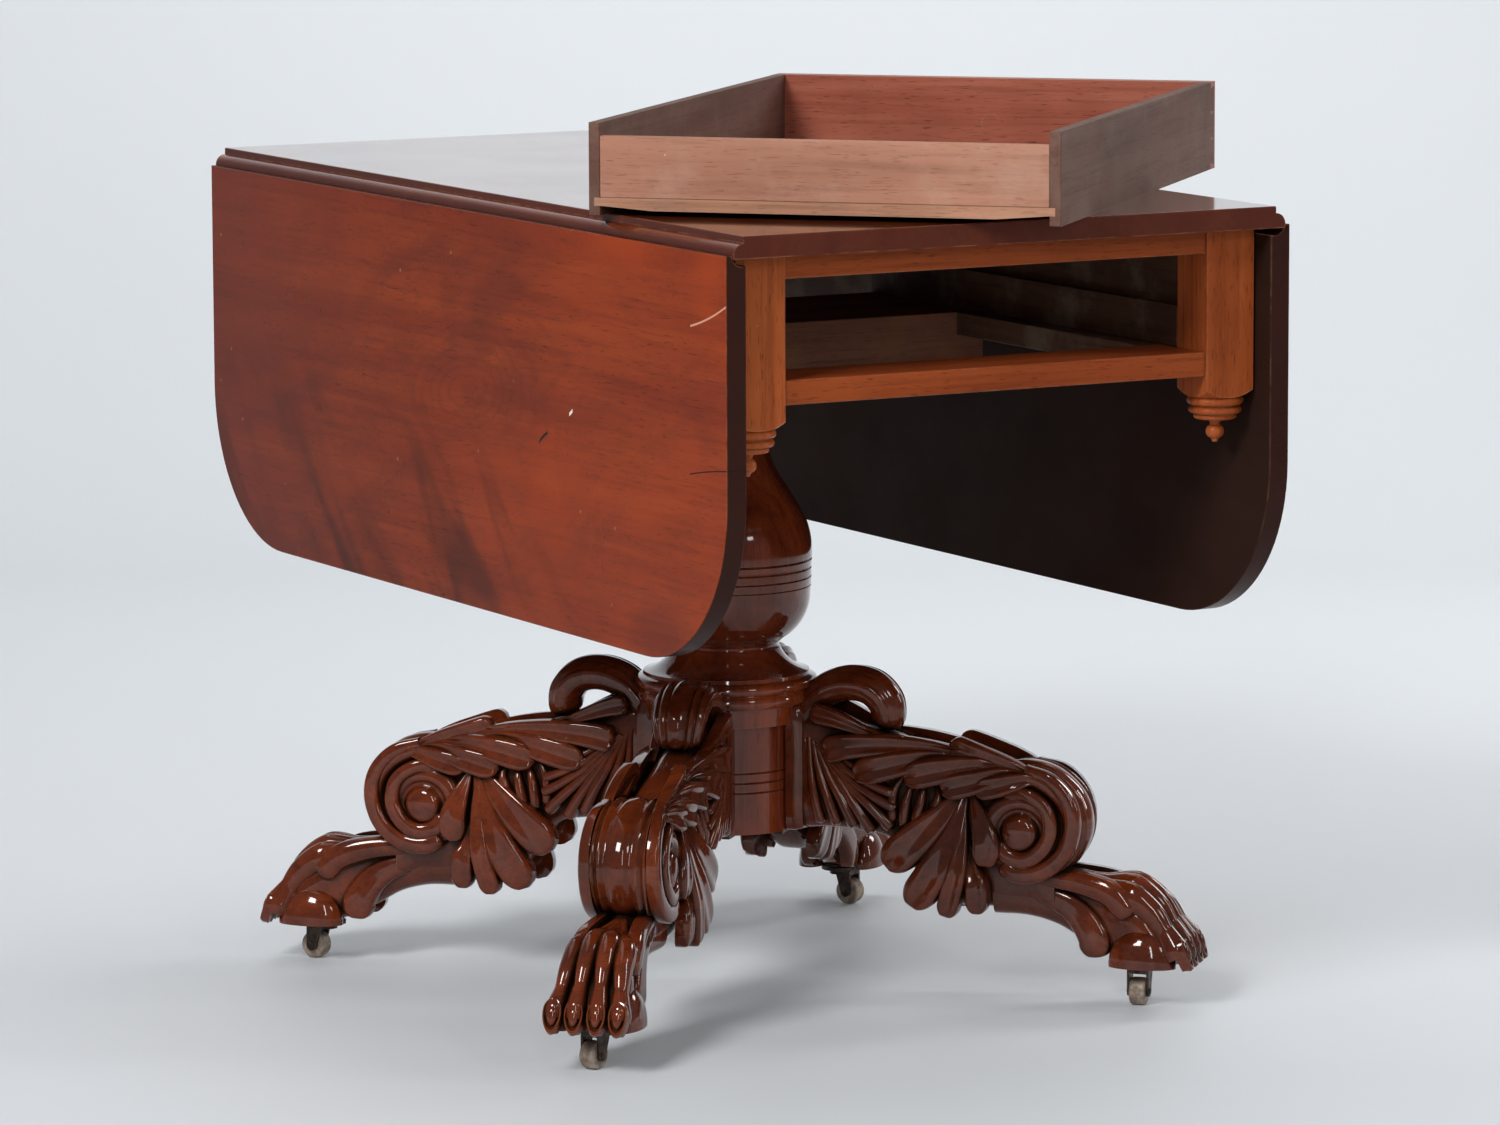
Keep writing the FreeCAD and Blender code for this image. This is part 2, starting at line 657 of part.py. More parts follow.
def glue_blocks():
    """Blocks rubbed into the corners between the aprons and the top, behind the drawer."""
    blocks = []
    for hand, side in (("right", 1), ("left", -1)):
        start = (apron_inner - s.glue_block) if side > 0 else -apron_inner
        for number, share in enumerate((0.36, 0.62, 0.88)):
            along = post_back * share - s.glue_block_length / 2
            blocks.append(board("glue_block_%s_%d" % (hand, number), s.glue_block,
                                s.glue_block_length, s.glue_block,
                                (start, along, top_base - s.glue_block), keep=False))
    group("glue_blocks", blocks)


def drawer_spot(along, across, height):
    """A place in the drawer: along from its back, across from its right side, up."""
    east = s.drawer_corner_x + along * cosine(s.drawer_yaw) - across * sine(s.drawer_yaw)
    north = s.drawer_corner_y + along * sine(s.drawer_yaw) + across * cosine(s.drawer_yaw)
    return (east, north, s.top_height + height)


drawer_width = post_inner * 2 - s.drawer_play * 2
drawer_height = s.opening_height - s.drawer_headroom
TAILS = (0.2, 0.5, 0.8)


def tail(sketch, base, end, height, grow):
    """One dovetail on a side view, wider at its end by grow on each edge."""
    half = s.tail_length / 2
    outline(sketch, ((base, height - half), (end, height - half - grow),
                     (end, height + half + grow), (base, height + half)))


def drawer_side(label, inner):
    """A drawer side: three dovetails at the front, a groove for the bottom."""
    side_run = s.drawer_depth - s.drawer_lap
    root_line = s.drawer_depth - s.drawer_front
    across = drawer_width - s.drawer_side if inner < 0 else size(0)
    body = new_body(label, drawer_spot(size(0), across, size(0)), s.drawer_yaw.value)
    plan = rectangle(new_sketch(body, "XZ_Plane"), 0, 0, root_line, drawer_height)
    plank = pad(body, plan, s.drawer_side, down=True)
    rounded(body, plank, s.edge_round, lambda edge: edge.BoundBox.XMax < root_line.value - 1)
    tails = new_sketch(body, "XZ_Plane")
    for share in TAILS:
        tail(tails, root_line, side_run, drawer_height * share, size(2))
    pad(body, tails, s.drawer_side, down=True)
    groove = new_sketch(body, "YZ_Plane", -1)
    edge = s.drawer_side - s.bottom_groove if inner > 0 else size(-1)
    rectangle(groove, edge, s.bottom_rise, edge + s.bottom_groove + 1,
              s.bottom_rise + s.drawer_bottom)
    cut(body, groove, root_line + 2, up=True)


def drawer_front():
    """The front board, lapped over the sides' dovetails, bored for the knob's tenon."""
    root_line = s.drawer_depth - s.drawer_front
    body = new_body("drawer_front", drawer_spot(size(0), size(0), size(0)), s.drawer_yaw.value)
    section = outline(new_sketch(body, "XZ_Plane"), (
        (root_line, 0), (s.drawer_depth, 0), (s.drawer_depth, drawer_height),
        (root_line, drawer_height), (root_line, s.bottom_rise + s.drawer_bottom),
        (root_line + s.bottom_groove, s.bottom_rise + s.drawer_bottom),
        (root_line + s.bottom_groove, s.bottom_rise), (root_line, s.bottom_rise)))
    plank = pad(body, section, drawer_width, down=True)
    outer = s.drawer_depth.value - 0.01
    rounded(body, plank, s.edge_round, lambda edge: edge.BoundBox.XMin > outer)
    for across in (-1, drawer_width - s.drawer_side):
        sockets = new_sketch(body, "XZ_Plane", -size(across))
        for share in TAILS:
            tail(sockets, root_line, s.drawer_depth - s.drawer_lap, drawer_height * share,
                 size(2))
        cut(body, sockets, s.drawer_side + 1)
    bore = new_sketch(body, "YZ_Plane", root_line - 1)
    ring(bore, drawer_width / 2, s.knob_height, s.knob_tenon + s.wood_gap)
    cut(body, bore, s.drawer_front + 2, up=True)


def drawer():
    """The drawer, taken out and laid askew on the top, its low back towards the front left."""
    drawer_side("drawer_side_right", 1)
    drawer_side("drawer_side_left", -1)
    drawer_front()
    bottom_top = s.bottom_rise + s.drawer_bottom
    board("drawer_back", s.drawer_back, drawer_width - s.drawer_side * 2,
          drawer_height - s.back_lowered - bottom_top,
          drawer_spot(size(0), s.drawer_side, bottom_top), s.drawer_yaw.value)
    inset = s.drawer_side - s.bottom_groove
    body = new_body("drawer_bottom", drawer_spot(size(0), size(0), size(0)), s.drawer_yaw.value)
    shoulder = s.drawer_side + 1
    belly = s.bottom_rise - s.bottom_belly
    far = drawer_width - shoulder
    section = outline(new_sketch(body, "YZ_Plane"), (
        (inset, s.bottom_rise), (shoulder, s.bottom_rise), (shoulder + 45, belly),
        (far - 45, belly), (far, s.bottom_rise), (drawer_width - inset, s.bottom_rise),
        (drawer_width - inset, bottom_top), (inset, bottom_top)))
    pad(body, section, s.drawer_depth - s.drawer_front)
    tongue = new_sketch(body, "YZ_Plane", s.drawer_depth - s.drawer_front)
    rectangle(tongue, s.drawer_side, s.bottom_rise, drawer_width - s.drawer_side, bottom_top)
    pad(body, tongue, s.bottom_groove)
    drawer_knob()


def drawer_knob():
    """A turned wooden knob whose tenon shows as a round plug inside the front."""
    spot = drawer_spot(s.drawer_depth, drawer_width / 2, s.knob_height)
    body = new_body("drawer_knob", spot)
    flat = FreeCAD.Rotation(Vector(0, 0, 1), s.drawer_yaw.value)
    upright = FreeCAD.Rotation(Vector(0, 1, 0), 90)
    body.Placement.Rotation = flat.multiply(upright)
    wide, reach = s.knob_radius, s.knob_reach
    profile = outline(new_sketch(body, "XZ_Plane"), (
        (0, -s.drawer_front), (s.knob_tenon, -s.drawer_front), (s.knob_tenon, 0),
        (wide * 0.75, 0, reach * 0.3, -1), (wide * 0.5, reach * 0.3, reach * 0.5, -1),
        (wide * 0.96, reach * 0.62, reach * 0.22, 1), (wide * 0.86, reach * 0.88, wide * 2.2, 1),
        (wide * 0.2, reach), (0, reach)))
    turned(body, profile)


def column():
    """The turned vase column, from its collar on the drum to the tenon in the bearer block."""
    body = new_body("column")
    base, neck, vase, waist = s.collar_base, s.neck_radius, s.vase_radius, s.waist_radius
    top = slide_height - s.block_height
    belly = s.vase_height
    profile = outline(new_sketch(body, "XZ_Plane"), (
        (0, base - s.tenon_length), (s.column_tenon, base - s.tenon_length),
        (s.column_tenon, base), (s.collar_radius, base), (s.collar_radius, base + 16),
        (s.ring_radius - 3, base + 17.5, 7.4, 1), (s.ring_radius - 3, base + 29),
        (s.ring_radius - 1.6, base + 30, 5.4, 1), (s.ring_radius - 1.6, base + 39.5),
        (s.collar_radius + 3, base + 41), (s.collar_radius + 2.4, base + 44, 34, -1),
        (neck + 2.5, s.neck_height - 2.5, 3, -1), (neck + 3, s.neck_height + 3),
        (neck + 6, s.neck_height + 6, vase * 0.62, 1), (vase - 0.9, belly - 24, vase * 2, 1),
        (vase, belly, vase * 1.06, 1), (vase - 11, belly + 54), (neck, belly + 86, 150, -1),
        (waist + 1, s.waist_height - 12, 40, -1), (waist + 1, s.waist_height + 2),
        (waist + 7, s.waist_height + 4, 4.5, 1), (waist + 7, s.waist_height + 12),
        (waist + 2, s.waist_height + 14, 26, -1), (s.cap_radius - 4, top - 12),
        (s.cap_radius, top - 11), (s.cap_radius, top), (s.column_tenon, top),
        (s.column_tenon, top + s.tenon_length), (0, top + s.tenon_length)))
    turned(body, profile)
    grooves = new_sketch(body, "XZ_Plane")
    for height in (belly - 18, belly - 10, belly - 2, belly + 6):
        outline(grooves, ((vase + 3, height + 2.2), (vase - 1.7, height), (vase + 3, height - 2.2)))
    turned(body, grooves, "Groove")


def drum():
    """The plain drum that the legs are tongued into, with a pair of reeds round its middle."""
    body = new_body("drum", turn=45)
    section = rectangle(new_sketch(body, "XZ_Plane"), 0, s.drum_base, s.drum_radius, s.collar_base)
    turned(body, section)
    grooves = new_sketch(body, "XZ_Plane")
    for height in (s.reed_middle - 9, s.reed_middle, s.reed_middle + 9):
        outline(grooves, ((s.drum_radius + 3, height + 2.4),
                          (s.drum_radius - s.reed_depth, height),
                          (s.drum_radius + 3, height - 2.4)))
    turned(body, grooves, "Groove")
    drill(body, [(0, 0)], s.column_tenon + s.wood_gap, s.tenon_length + 1, s.collar_base)
    slot = new_sketch(body, "XY_Plane", s.drum_base + 12)
    half = s.leg_tongue / 2 + s.wood_gap
    rectangle(slot, s.drum_radius - s.tongue_depth - s.wood_gap, -half, s.drum_radius + 5, half)
    pocket = cut(body, slot, tongue_height + s.wood_gap, up=True)
    around(body, [pocket], 4)


tongue_height = s.collar_base - s.drum_base - 24


def leg(label, turn):
    """A scrolled leg with a volute at its knee and a paw at its foot, tongued into the drum."""
    body = new_body(label, turn=turn)
    hub, under = s.drum_radius, s.drum_base + 5
    start = hub - 8
    knee, eye = s.volute_reach, s.volute_height
    foot, reach = paw_base, s.leg_reach
    scroll = size(46)
    shape = outline(new_sketch(body, "XZ_Plane"), (
        (start, under), (hub + 25, under), (hub + 58, under - 14), (hub + 74, under - 34, 60, -1),
        (hub + 105, foot + 50), (hub + 122, foot + 38, 46, 1), (hub + 150, foot + 33),
        (knee + 14, foot + 36, 90, -1), (knee + 45, foot + 18),
        (knee + 70, foot + 16), (reach - 36, foot + 16), (reach - 36, foot + 64),
        (knee + 99, foot + 81), (knee + 50, foot + 81), (knee + 12, eye - 29, scroll, 1),
        (knee + 45, eye + 16, scroll, 1), (knee + 3, eye + 57, 300, 1),
        (hub + 149, eye + 74), (hub + 54, s.collar_base + 12, 4.6, -1),
        (hub + 55, s.collar_base + 20, 15, -1), (hub + 77, s.collar_base + 12, 5, 1),
        (hub + 86, s.collar_base + 9, 20, 1), (hub + 90, s.collar_base + 21, 32, 1),
        (hub + 56, s.collar_base + 48, 34, 1), (hub + 24, s.collar_base + 22),
        (hub + 20, s.collar_base + 13), (hub + 11, s.collar_base + 12),
        (hub + 10.5, s.collar_base - 1), (start, s.collar_base - 1)))
    pad(body, shape, s.leg_thick, centred=True)
    cut(body, ring(new_sketch(body, "XY_Plane"), 0, 0, hub), s.top_height, up=True)
    tongue = rectangle(new_sketch(body, "XZ_Plane"), hub - s.tongue_depth, s.drum_base + 12,
                       hub + 6, s.drum_base + 12 + tongue_height)
    pad(body, tongue, s.leg_tongue, centred=True)
    eyes = ring(new_sketch(body, "XZ_Plane"), knee, eye, s.volute_boss)
    pad(body, eyes, s.leg_thick + s.volute_stand * 2, centred=True)
    paw(body)
    stem_hole = [(s.caster_reach, 0)]
    drill(body, stem_hole, s.caster_stem + s.caster_gap, s.caster_stem_length, foot, up=True)


def paw(body):
    """The paw: a broad block with a rounded back and four toes."""
    foot, reach = paw_base, s.leg_reach
    heel = reach - 103
    shape = outline(new_sketch(body, "XZ_Plane"), (
        (heel, foot), (reach - 4, foot), (reach, foot + 6), (reach, foot + 24, 24, 1),
        (reach - 16, foot + 45), (reach - 38, foot + 66), (reach - 66, foot + 80),
        (heel + 12, foot + 62), (heel - 4, foot + 22)))
    block = pad(body, shape, s.paw_width, centred=True)
    end, low = reach.value - 60, foot.value + 3
    rounded(body, block, s.carving_round * 0.8,
            lambda edge: edge.BoundBox.XMin > end and edge.BoundBox.ZMin > low
            and edge.BoundBox.YLength < 0.01)


def tie_plate():
    """An iron cross screwed under the drum and the legs' roots to hold them together."""
    body = new_body("tie_plate", (0, 0, s.drum_base - s.tie_thick), 45)
    half, reach = s.tie_width / 2, s.tie_reach
    plate = outline(new_sketch(body, "XY_Plane"), (
        (half, -reach), (half, -half), (reach, -half), (reach, half), (half, half),
        (half, reach), (-half, reach), (-half, half), (-reach, half), (-reach, -half),
        (-half, -half), (-half, -reach)))
    pad(body, plate, s.tie_thick)
    across = s.tie_reach * 0.72
    spots = [(across, 0), (0, across), (-across, 0), (0, -across)]
    drill(body, spots, s.screw_head, s.tie_thick * 3, -s.tie_thick, up=True)
    screws = []
    for number, angle in enumerate((45, 135, 225, 315)):
        spot = (across * math.cos(math.radians(angle)), across * math.sin(math.radians(angle)),
                s.drum_base - s.tie_thick)
        screws.append(tie_screw("tie_screw_%d" % number, spot))
    group("tie_screws", screws)


def tie_screw(label, at):
    """A round-headed screw up through the tie plate, its shank short of the drum."""
    body = new_body(label, at, keep=False)
    wide = s.screw_head - s.wood_gap
    profile = outline(new_sketch(body, "XZ_Plane"), (
        (0, -2), (wide * 0.6, -1.6), (wide, 0), (wide, s.tie_thick), (0, s.tie_thick)))
    turned(body, profile)
    return body


def caster(corner, angle):
    """One caster: a plate under the paw, a swivelling fork, an axle and a roller."""
    radians = math.radians(angle)
    east = s.caster_reach * math.cos(radians)
    north = s.caster_reach * math.sin(radians)
    turn = CASTER_TURN[corner]
    crown_top = caster_top
    crown_base = crown_top - s.caster_crown
    body = new_body("caster_fork_" + corner, (east, north, 0), turn)
    crown = ring(new_sketch(body, "XY_Plane", crown_base), 0, 0, s.caster_crown_radius)
    pad(body, crown, s.caster_crown)
    stem = ring(new_sketch(body, "XY_Plane", crown_top), 0, 0, s.caster_stem)
    pad(body, stem, s.caster_stem_length - s.caster_gap)
    inside = s.wheel_width / 2 + s.caster_gap
    outside = inside + s.cheek_thick
    bridge = rectangle(new_sketch(body, "XY_Plane", crown_base), -s.caster_trail - 5, -outside,
                       s.caster_crown_radius * 0.4, outside)
    pad(body, bridge, s.caster_crown)
    axle = s.wheel_radius
    horn = outline(new_sketch(body, "XZ_Plane"), (
        (-s.caster_trail - 5, crown_top), (-s.caster_trail - 5, axle, 5, 1),
        (-s.caster_trail, axle - 5, 5, 1), (-s.caster_trail + 5, axle), (0, crown_top)))
    pad(body, horn, outside * 2, centred=True)
    room = outline(new_sketch(body, "XZ_Plane"), (
        (-s.caster_trail - 15, -1), (20, -1), (20, crown_base), (-s.caster_trail - 15, crown_base)))
    cut(body, room, inside * 2, centred=True)
    bore = ring(new_sketch(body, "XZ_Plane"), -s.caster_trail, axle, s.axle_radius)
    cut(body, bore, outside * 3, centred=True)
    roller(corner, east, north, turn, outside)
    plate = doc.addObject("Part::Cylinder", "caster_disc_" + corner)
    bind(plate, Radius=s.caster_plate_radius, Height=s.caster_plate)
    hole = doc.addObject("Part::Cylinder", "caster_hole_" + corner)
    bind(hole, Radius=s.caster_stem + s.caster_gap, Height=s.caster_plate)
    washer = doc.addObject("Part::Cut", "caster_plate_" + corner)
    washer.Base = plate
    washer.Tool = hole
    put(washer, (east, north, paw_base - s.caster_plate))
    return washer


def roller(corner, east, north, turn, outside):
    """The caster's roller, slightly crowned, and the rivet that it turns on."""
    radians = math.radians(turn)
    middle_x = east - s.caster_trail * math.cos(radians)
    middle_y = north - s.caster_trail * math.sin(radians)
    lying = FreeCAD.Rotation(Vector(0, 0, 1), turn).multiply(
        FreeCAD.Rotation(Vector(1, 0, 0), 90))
    wheel = new_body("caster_wheel_" + corner, (middle_x, middle_y, s.wheel_radius))
    wheel.Placement.Rotation = lying
    half = s.wheel_width / 2
    bore = s.axle_radius + s.turned_gap
    edge = s.wheel_radius - s.wheel_crown
    profile = outline(new_sketch(wheel, "XZ_Plane"), (
        (bore, -half), (edge - 1.5, -half, 2.4, 1), (edge, -half + 2, 80, 1),
        (edge, half - 2, 2.4, 1), (edge - 1.5, half), (bore, half)))
    turned(wheel, profile)
    axle = doc.addObject("Part::Cylinder", "caster_axle_" + corner)
    axle.Label = "caster_axle_" + corner
    bind(axle, Radius=s.axle_radius, Height=outside * 2 + 1.6)
    offset = outside + 0.8
    put(axle, (middle_x - offset * math.sin(radians), middle_y + offset * math.cos(radians),
               s.wheel_radius))
    axle.Placement.Rotation = lying
    nodes.append(axle)


def build():
    """Every piece, from the top down to the floor."""
    top_board()
    leaf("leaf_right", 0)
    leaf("leaf_left", 180)
    hinges()
    frame()
    drawer()
    column()
    drum()
    tie_plate()
    plates = []
    for corner, angle in LEG_CORNERS:
        leg("leg_" + corner, angle)
        plates.append(caster(corner, angle))
    group("caster_plates", plates)


def check():
    """Stops with a message if any object failed or any piece isn't a sound solid."""
    doc.recompute()
    bad = [thing.Label for thing in doc.Objects
           if "Invalid" in thing.State or "Error" in thing.State]
    for node in nodes:
        if node.Shape.isNull() or not node.Shape.isValid() or not node.Shape.Solids:
            bad.append(node.Label)
    if bad:
        raise RuntimeError("not sound: " + ", ".join(bad))


def write():
    """One STEP file for each node, named after it."""
    os.makedirs("parts", exist_ok=True)
    for node in nodes:
        node.Shape.exportStep("parts/%s.step" % node.Label)
    print("%d nodes written" % len(nodes))


build()
check()
write()
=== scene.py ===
import bpy
import math
import numpy as np
from mathutils import Matrix, Vector


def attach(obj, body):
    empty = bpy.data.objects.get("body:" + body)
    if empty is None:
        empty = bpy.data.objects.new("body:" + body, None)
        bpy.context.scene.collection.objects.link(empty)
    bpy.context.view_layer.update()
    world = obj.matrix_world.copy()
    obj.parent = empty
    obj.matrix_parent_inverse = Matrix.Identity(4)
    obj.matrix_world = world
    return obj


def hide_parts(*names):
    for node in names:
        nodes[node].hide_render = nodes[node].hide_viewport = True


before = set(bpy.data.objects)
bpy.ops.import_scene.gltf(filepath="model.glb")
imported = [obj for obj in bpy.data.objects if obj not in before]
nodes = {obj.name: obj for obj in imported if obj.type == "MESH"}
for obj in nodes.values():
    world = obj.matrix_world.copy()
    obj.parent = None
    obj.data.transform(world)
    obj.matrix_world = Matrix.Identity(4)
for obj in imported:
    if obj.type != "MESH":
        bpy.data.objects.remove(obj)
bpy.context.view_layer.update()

# ---------------------------------------------------------------------------
# The top: one wide board of figured mahogany with a rule joint along each long
# side, French polished and worn pale on its arrises. Its grain runs lengthways.
# ---------------------------------------------------------------------------


def add(tree, kind, settings=(), **inputs):
    """Adds a shader node, sets its settings, and fills or links its inputs by name."""
    node = tree.nodes.new(kind)
    for name, value in dict(settings).items():
        setattr(node, name, value)
    for name, value in inputs.items():
        socket = node.inputs[int(name[1:])] if name[0] == "i" and name[1:].isdigit() \
            else node.inputs[name.replace("_", " ")]
        if isinstance(value, bpy.types.NodeSocket):
            tree.links.new(value, socket)
        else:
            socket.default_value = value
    return node


def calc(tree, operation, first, second=0.0, third=0.0, clamp=False):
    """One step of arithmetic on sockets or numbers."""
    return add(tree, "ShaderNodeMath", {"operation": operation, "use_clamp": clamp},
               i0=first, i1=second, i2=third).outputs[0]


def stretch(tree, vector, scale, turn=(0, 0, 0), centre=(0, 0, 0)):
    """Coordinates moved to a centre, turned, and multiplied on each axis."""
    moved = add(tree, "ShaderNodeMapping", Vector=vector,
                Location=tuple(-value for value in centre)).outputs[0]
    turned = add(tree, "ShaderNodeMapping", Vector=moved, Rotation=turn).outputs[0]
    return add(tree, "ShaderNodeMapping", Vector=turned, Scale=scale).outputs[0]


def clouds(tree, vector, detail=3.0, rough=0.5, twist=0.0):
    """Soft random values from 0 to 1 at each point."""
    return add(tree, "ShaderNodeTexNoise", Vector=vector, Scale=1.0, Detail=detail,
               Roughness=rough, Distortion=twist).outputs[0]


def between(tree, value, low, high):
    """0 below low, 1 above high, and a smooth rise between them."""
    return add(tree, "ShaderNodeMapRange", {"interpolation_type": "SMOOTHSTEP"}, Value=value,
               From_Min=low, From_Max=high).outputs[0]


def blended(tree, mask, first, second, way="MIX"):
    """The first colour, and the second one where the mask is 1."""
    node = tree.nodes.new("ShaderNodeMix")
    node.data_type = "RGBA"
    node.blend_type = way
    for socket, value in zip((node.inputs[0], node.inputs[6], node.inputs[7]),
                             (mask, first, second)):
        if isinstance(value, bpy.types.NodeSocket):
            tree.links.new(value, socket)
        else:
            socket.default_value = value if isinstance(value, float) else (*value, 1.0)
    return node.outputs[2]


def new_group(name, inputs, outputs):
    """An empty shader group with named inputs (name, kind, value) and outputs."""
    tree = bpy.data.node_groups.new(name, "ShaderNodeTree")
    for label, kind, value in inputs:
        socket = tree.interface.new_socket(name=label, in_out="INPUT",
                                           socket_type="NodeSocket" + kind)
        if value is not None:
            socket.default_value = value
    for label, kind in outputs:
        tree.interface.new_socket(name=label, in_out="OUTPUT", socket_type="NodeSocket" + kind)
    return tree, tree.nodes.new("NodeGroupInput").outputs, tree.nodes.new("NodeGroupOutput").inputs


def grain_group():
    """Timber: long streaks, finer lines, soft clouds of figure, and short dark pores along X."""
    tree, given, made = new_group(
        "timber", [("Vector", "Vector", None), ("Dark", "Color", None), ("Middle", "Color", None),
                   ("Light", "Color", None), ("Figure", "Float", 0.5), ("Pores", "Float", 0.5)],
        [("Color", "Color"), ("Height", "Float")])
    place = given["Vector"]
    streak = clouds(tree, stretch(tree, place, (1.6, 26, 26)), 4.0, 0.6, 0.8)
    lines = clouds(tree, stretch(tree, place, (7, 210, 210)), 3.0, 0.6, 0.3)
    cloudy = clouds(tree, stretch(tree, place, (4.5, 8, 8)), 3.0, 0.55, 1.4)
    pores = clouds(tree, stretch(tree, place, (70, 900, 900)), 2.0, 0.5)
    body = blended(tree, between(tree, streak, 0.32, 0.7), given["Middle"], given["Light"])
    fine = calc(tree, "MULTIPLY", between(tree, lines, 0.46, 0.72), 0.42)
    body = blended(tree, fine, body, given["Dark"])
    shade = calc(tree, "MULTIPLY", between(tree, cloudy, 0.42, 0.74), given["Figure"])
    body = blended(tree, shade, body, given["Dark"])
    pore = calc(tree, "MULTIPLY", between(tree, pores, 0.6, 0.7), given["Pores"])
    body = blended(tree, pore, body, given["Dark"], "MULTIPLY")
    tree.links.new(body, made["Color"])
    tree.links.new(calc(tree, "SUBTRACT", calc(tree, "MULTIPLY", lines, 0.5), pore), made["Height"])
    return tree


def wear_group():
    """Rubbed edges: where a rounded normal departs from the flat one, broken up by clouds."""
    tree, given, made = new_group(
        "rubbed_edges", [("Vector", "Vector", None), ("Reach", "Float", 0.002),
                         ("Amount", "Float", 1.0)], [("Mask", "Float")])
    eased = add(tree, "ShaderNodeBevel", {"samples": 4}, Radius=given["Reach"]).outputs[0]
    flat = tree.nodes.new("ShaderNodeNewGeometry").outputs["Normal"]
    same = add(tree, "ShaderNodeVectorMath", {"operation": "DOT_PRODUCT"}, i0=eased, i1=flat)
    edge = between(tree, calc(tree, "SUBTRACT", 1.0, same.outputs["Value"]), 0.02, 0.22)
    patchy = between(tree, clouds(tree, stretch(tree, given["Vector"], (60, 60, 60)), 4.0, 0.65),
                     0.38, 0.62)
    tree.links.new(calc(tree, "MULTIPLY", calc(tree, "MULTIPLY", edge, patchy), given["Amount"]),
                   made["Mask"])
    return tree


def marks_group():
    """Small dents and specks: the middles of a few scattered cells, and their outline."""
    tree, given, made = new_group(
        "nicks", [("Vector", "Vector", None), ("Scale", "Float", 60.0), ("Size", "Float", 0.08)],
        [("Mask", "Float")])
    cells = add(tree, "ShaderNodeTexVoronoi", Vector=given["Vector"], Scale=given["Scale"])
    chosen = add(tree, "ShaderNodeSeparateColor", Color=cells.outputs["Color"]).outputs[0]
    spot = calc(tree, "LESS_THAN", cells.outputs["Distance"],
                calc(tree, "MULTIPLY", given["Size"], chosen))
    tree.links.new(calc(tree, "MULTIPLY", spot, calc(tree, "GREATER_THAN", chosen, 0.7)),
                   made["Mask"])
    return tree


timber = grain_group()
rubbed = wear_group()
nicks = marks_group()


def use(tree, group, **inputs):
    """Places a shader group in a tree and returns its outputs by name."""
    node = tree.nodes.new("ShaderNodeGroup")
    node.node_tree = group
    for name, value in inputs.items():
        socket = node.inputs[name]
        if isinstance(value, bpy.types.NodeSocket):
            tree.links.new(value, socket)
        else:
            socket.default_value = (*value, 1.0) if isinstance(value, tuple) else value
    return node.outputs


def new_finish(name, rough, metal=0.0, coat=0.0, coat_rough=0.1, specular=0.5, tint=(1, 1, 1)):
    """A material with its own Principled shader; returns it, its tree and the shader."""
    material = bpy.data.materials.new(name)
    material.use_nodes = True
    tree = material.node_tree
    shader = tree.nodes["Principled BSDF"]
    shader.inputs["Roughness"].default_value = rough
    shader.inputs["Metallic"].default_value = metal
    shader.inputs["Coat Weight"].default_value = coat
    shader.inputs["Coat Roughness"].default_value = coat_rough
    shader.inputs["Specular IOR Level"].default_value = specular
    shader.inputs["Specular Tint"].default_value = (*tint, 1.0)
    return material, tree, shader


# which way the grain runs, as turns that bring it onto X
LENGTHWAYS, UPRIGHT, CROSSWAYS = (0, 0, -math.pi / 2), (0, math.pi / 2, 0), (0, 0, 0)


def polished(name, dark, middle, light, grain, rough=0.2, figure=0.5, pores=0.5, coat=0.3,
             worn=(0.34, 0.17, 0.09), wear=0.6, reach=0.0022, relief=0.12, specular=0.15,
             extra=None):
    """Polished timber: figured colour, pale rubbed edges, dull patches and shallow grain.

    Extra takes the tree, the place and the colour, and gives a colour and a mask of where
    the polish is missing, or None.
    """
    material, tree, shader = new_finish(name, rough, coat=coat, coat_rough=0.07,
                                        specular=specular, tint=(1.0, 0.72, 0.55))
    place = tree.nodes.new("ShaderNodeTexCoord").outputs["Object"]
    lying = stretch(tree, place, (1, 1, 1), grain)
    wood = use(tree, timber, Vector=lying, Dark=dark, Middle=middle, Light=light,
               Figure=figure, Pores=pores)
    colour, bare_skin = wood["Color"], None
    if extra:
        colour, bare_skin = extra(tree, place, colour)
    edges = use(tree, rubbed, Vector=place, Reach=reach, Amount=wear)["Mask"]
    colour = blended(tree, edges, colour, worn)
    specks = use(tree, nicks, Vector=place, Scale=26.0, Size=0.05)["Mask"]
    colour = blended(tree, calc(tree, "MULTIPLY", specks, 0.6), colour, worn)
    tree.links.new(colour, shader.inputs["Base Color"])
    patches = clouds(tree, stretch(tree, place, (9, 9, 9)), 4.0, 0.6)
    dull = calc(tree, "MULTIPLY_ADD", between(tree, patches, 0.35, 0.75), 0.08, rough)
    if bare_skin is not None:
        dull = calc(tree, "MULTIPLY_ADD", bare_skin, 0.4, dull)
        tree.links.new(calc(tree, "MULTIPLY_ADD", bare_skin, -coat, coat, clamp=True),
                       shader.inputs["Coat Weight"])
    tree.links.new(calc(tree, "MULTIPLY_ADD", edges, 0.25, dull), shader.inputs["Roughness"])
    bump = add(tree, "ShaderNodeBump", Strength=relief, Distance=0.0006,
               Height=wood["Height"]).outputs[0]
    tree.links.new(bump, shader.inputs["Normal"])
    return material


def dress(material, *names):
    """Gives CAD nodes their finish."""
    for name in names:
        for place in nodes[name].material_slots:
            place.material = material


def facing(tree):
    """The surface's own direction in the piece's space, as three sockets."""
    normal = tree.nodes.new("ShaderNodeTexCoord").outputs["Normal"]
    return add(tree, "ShaderNodeSeparateXYZ", Vector=normal).outputs


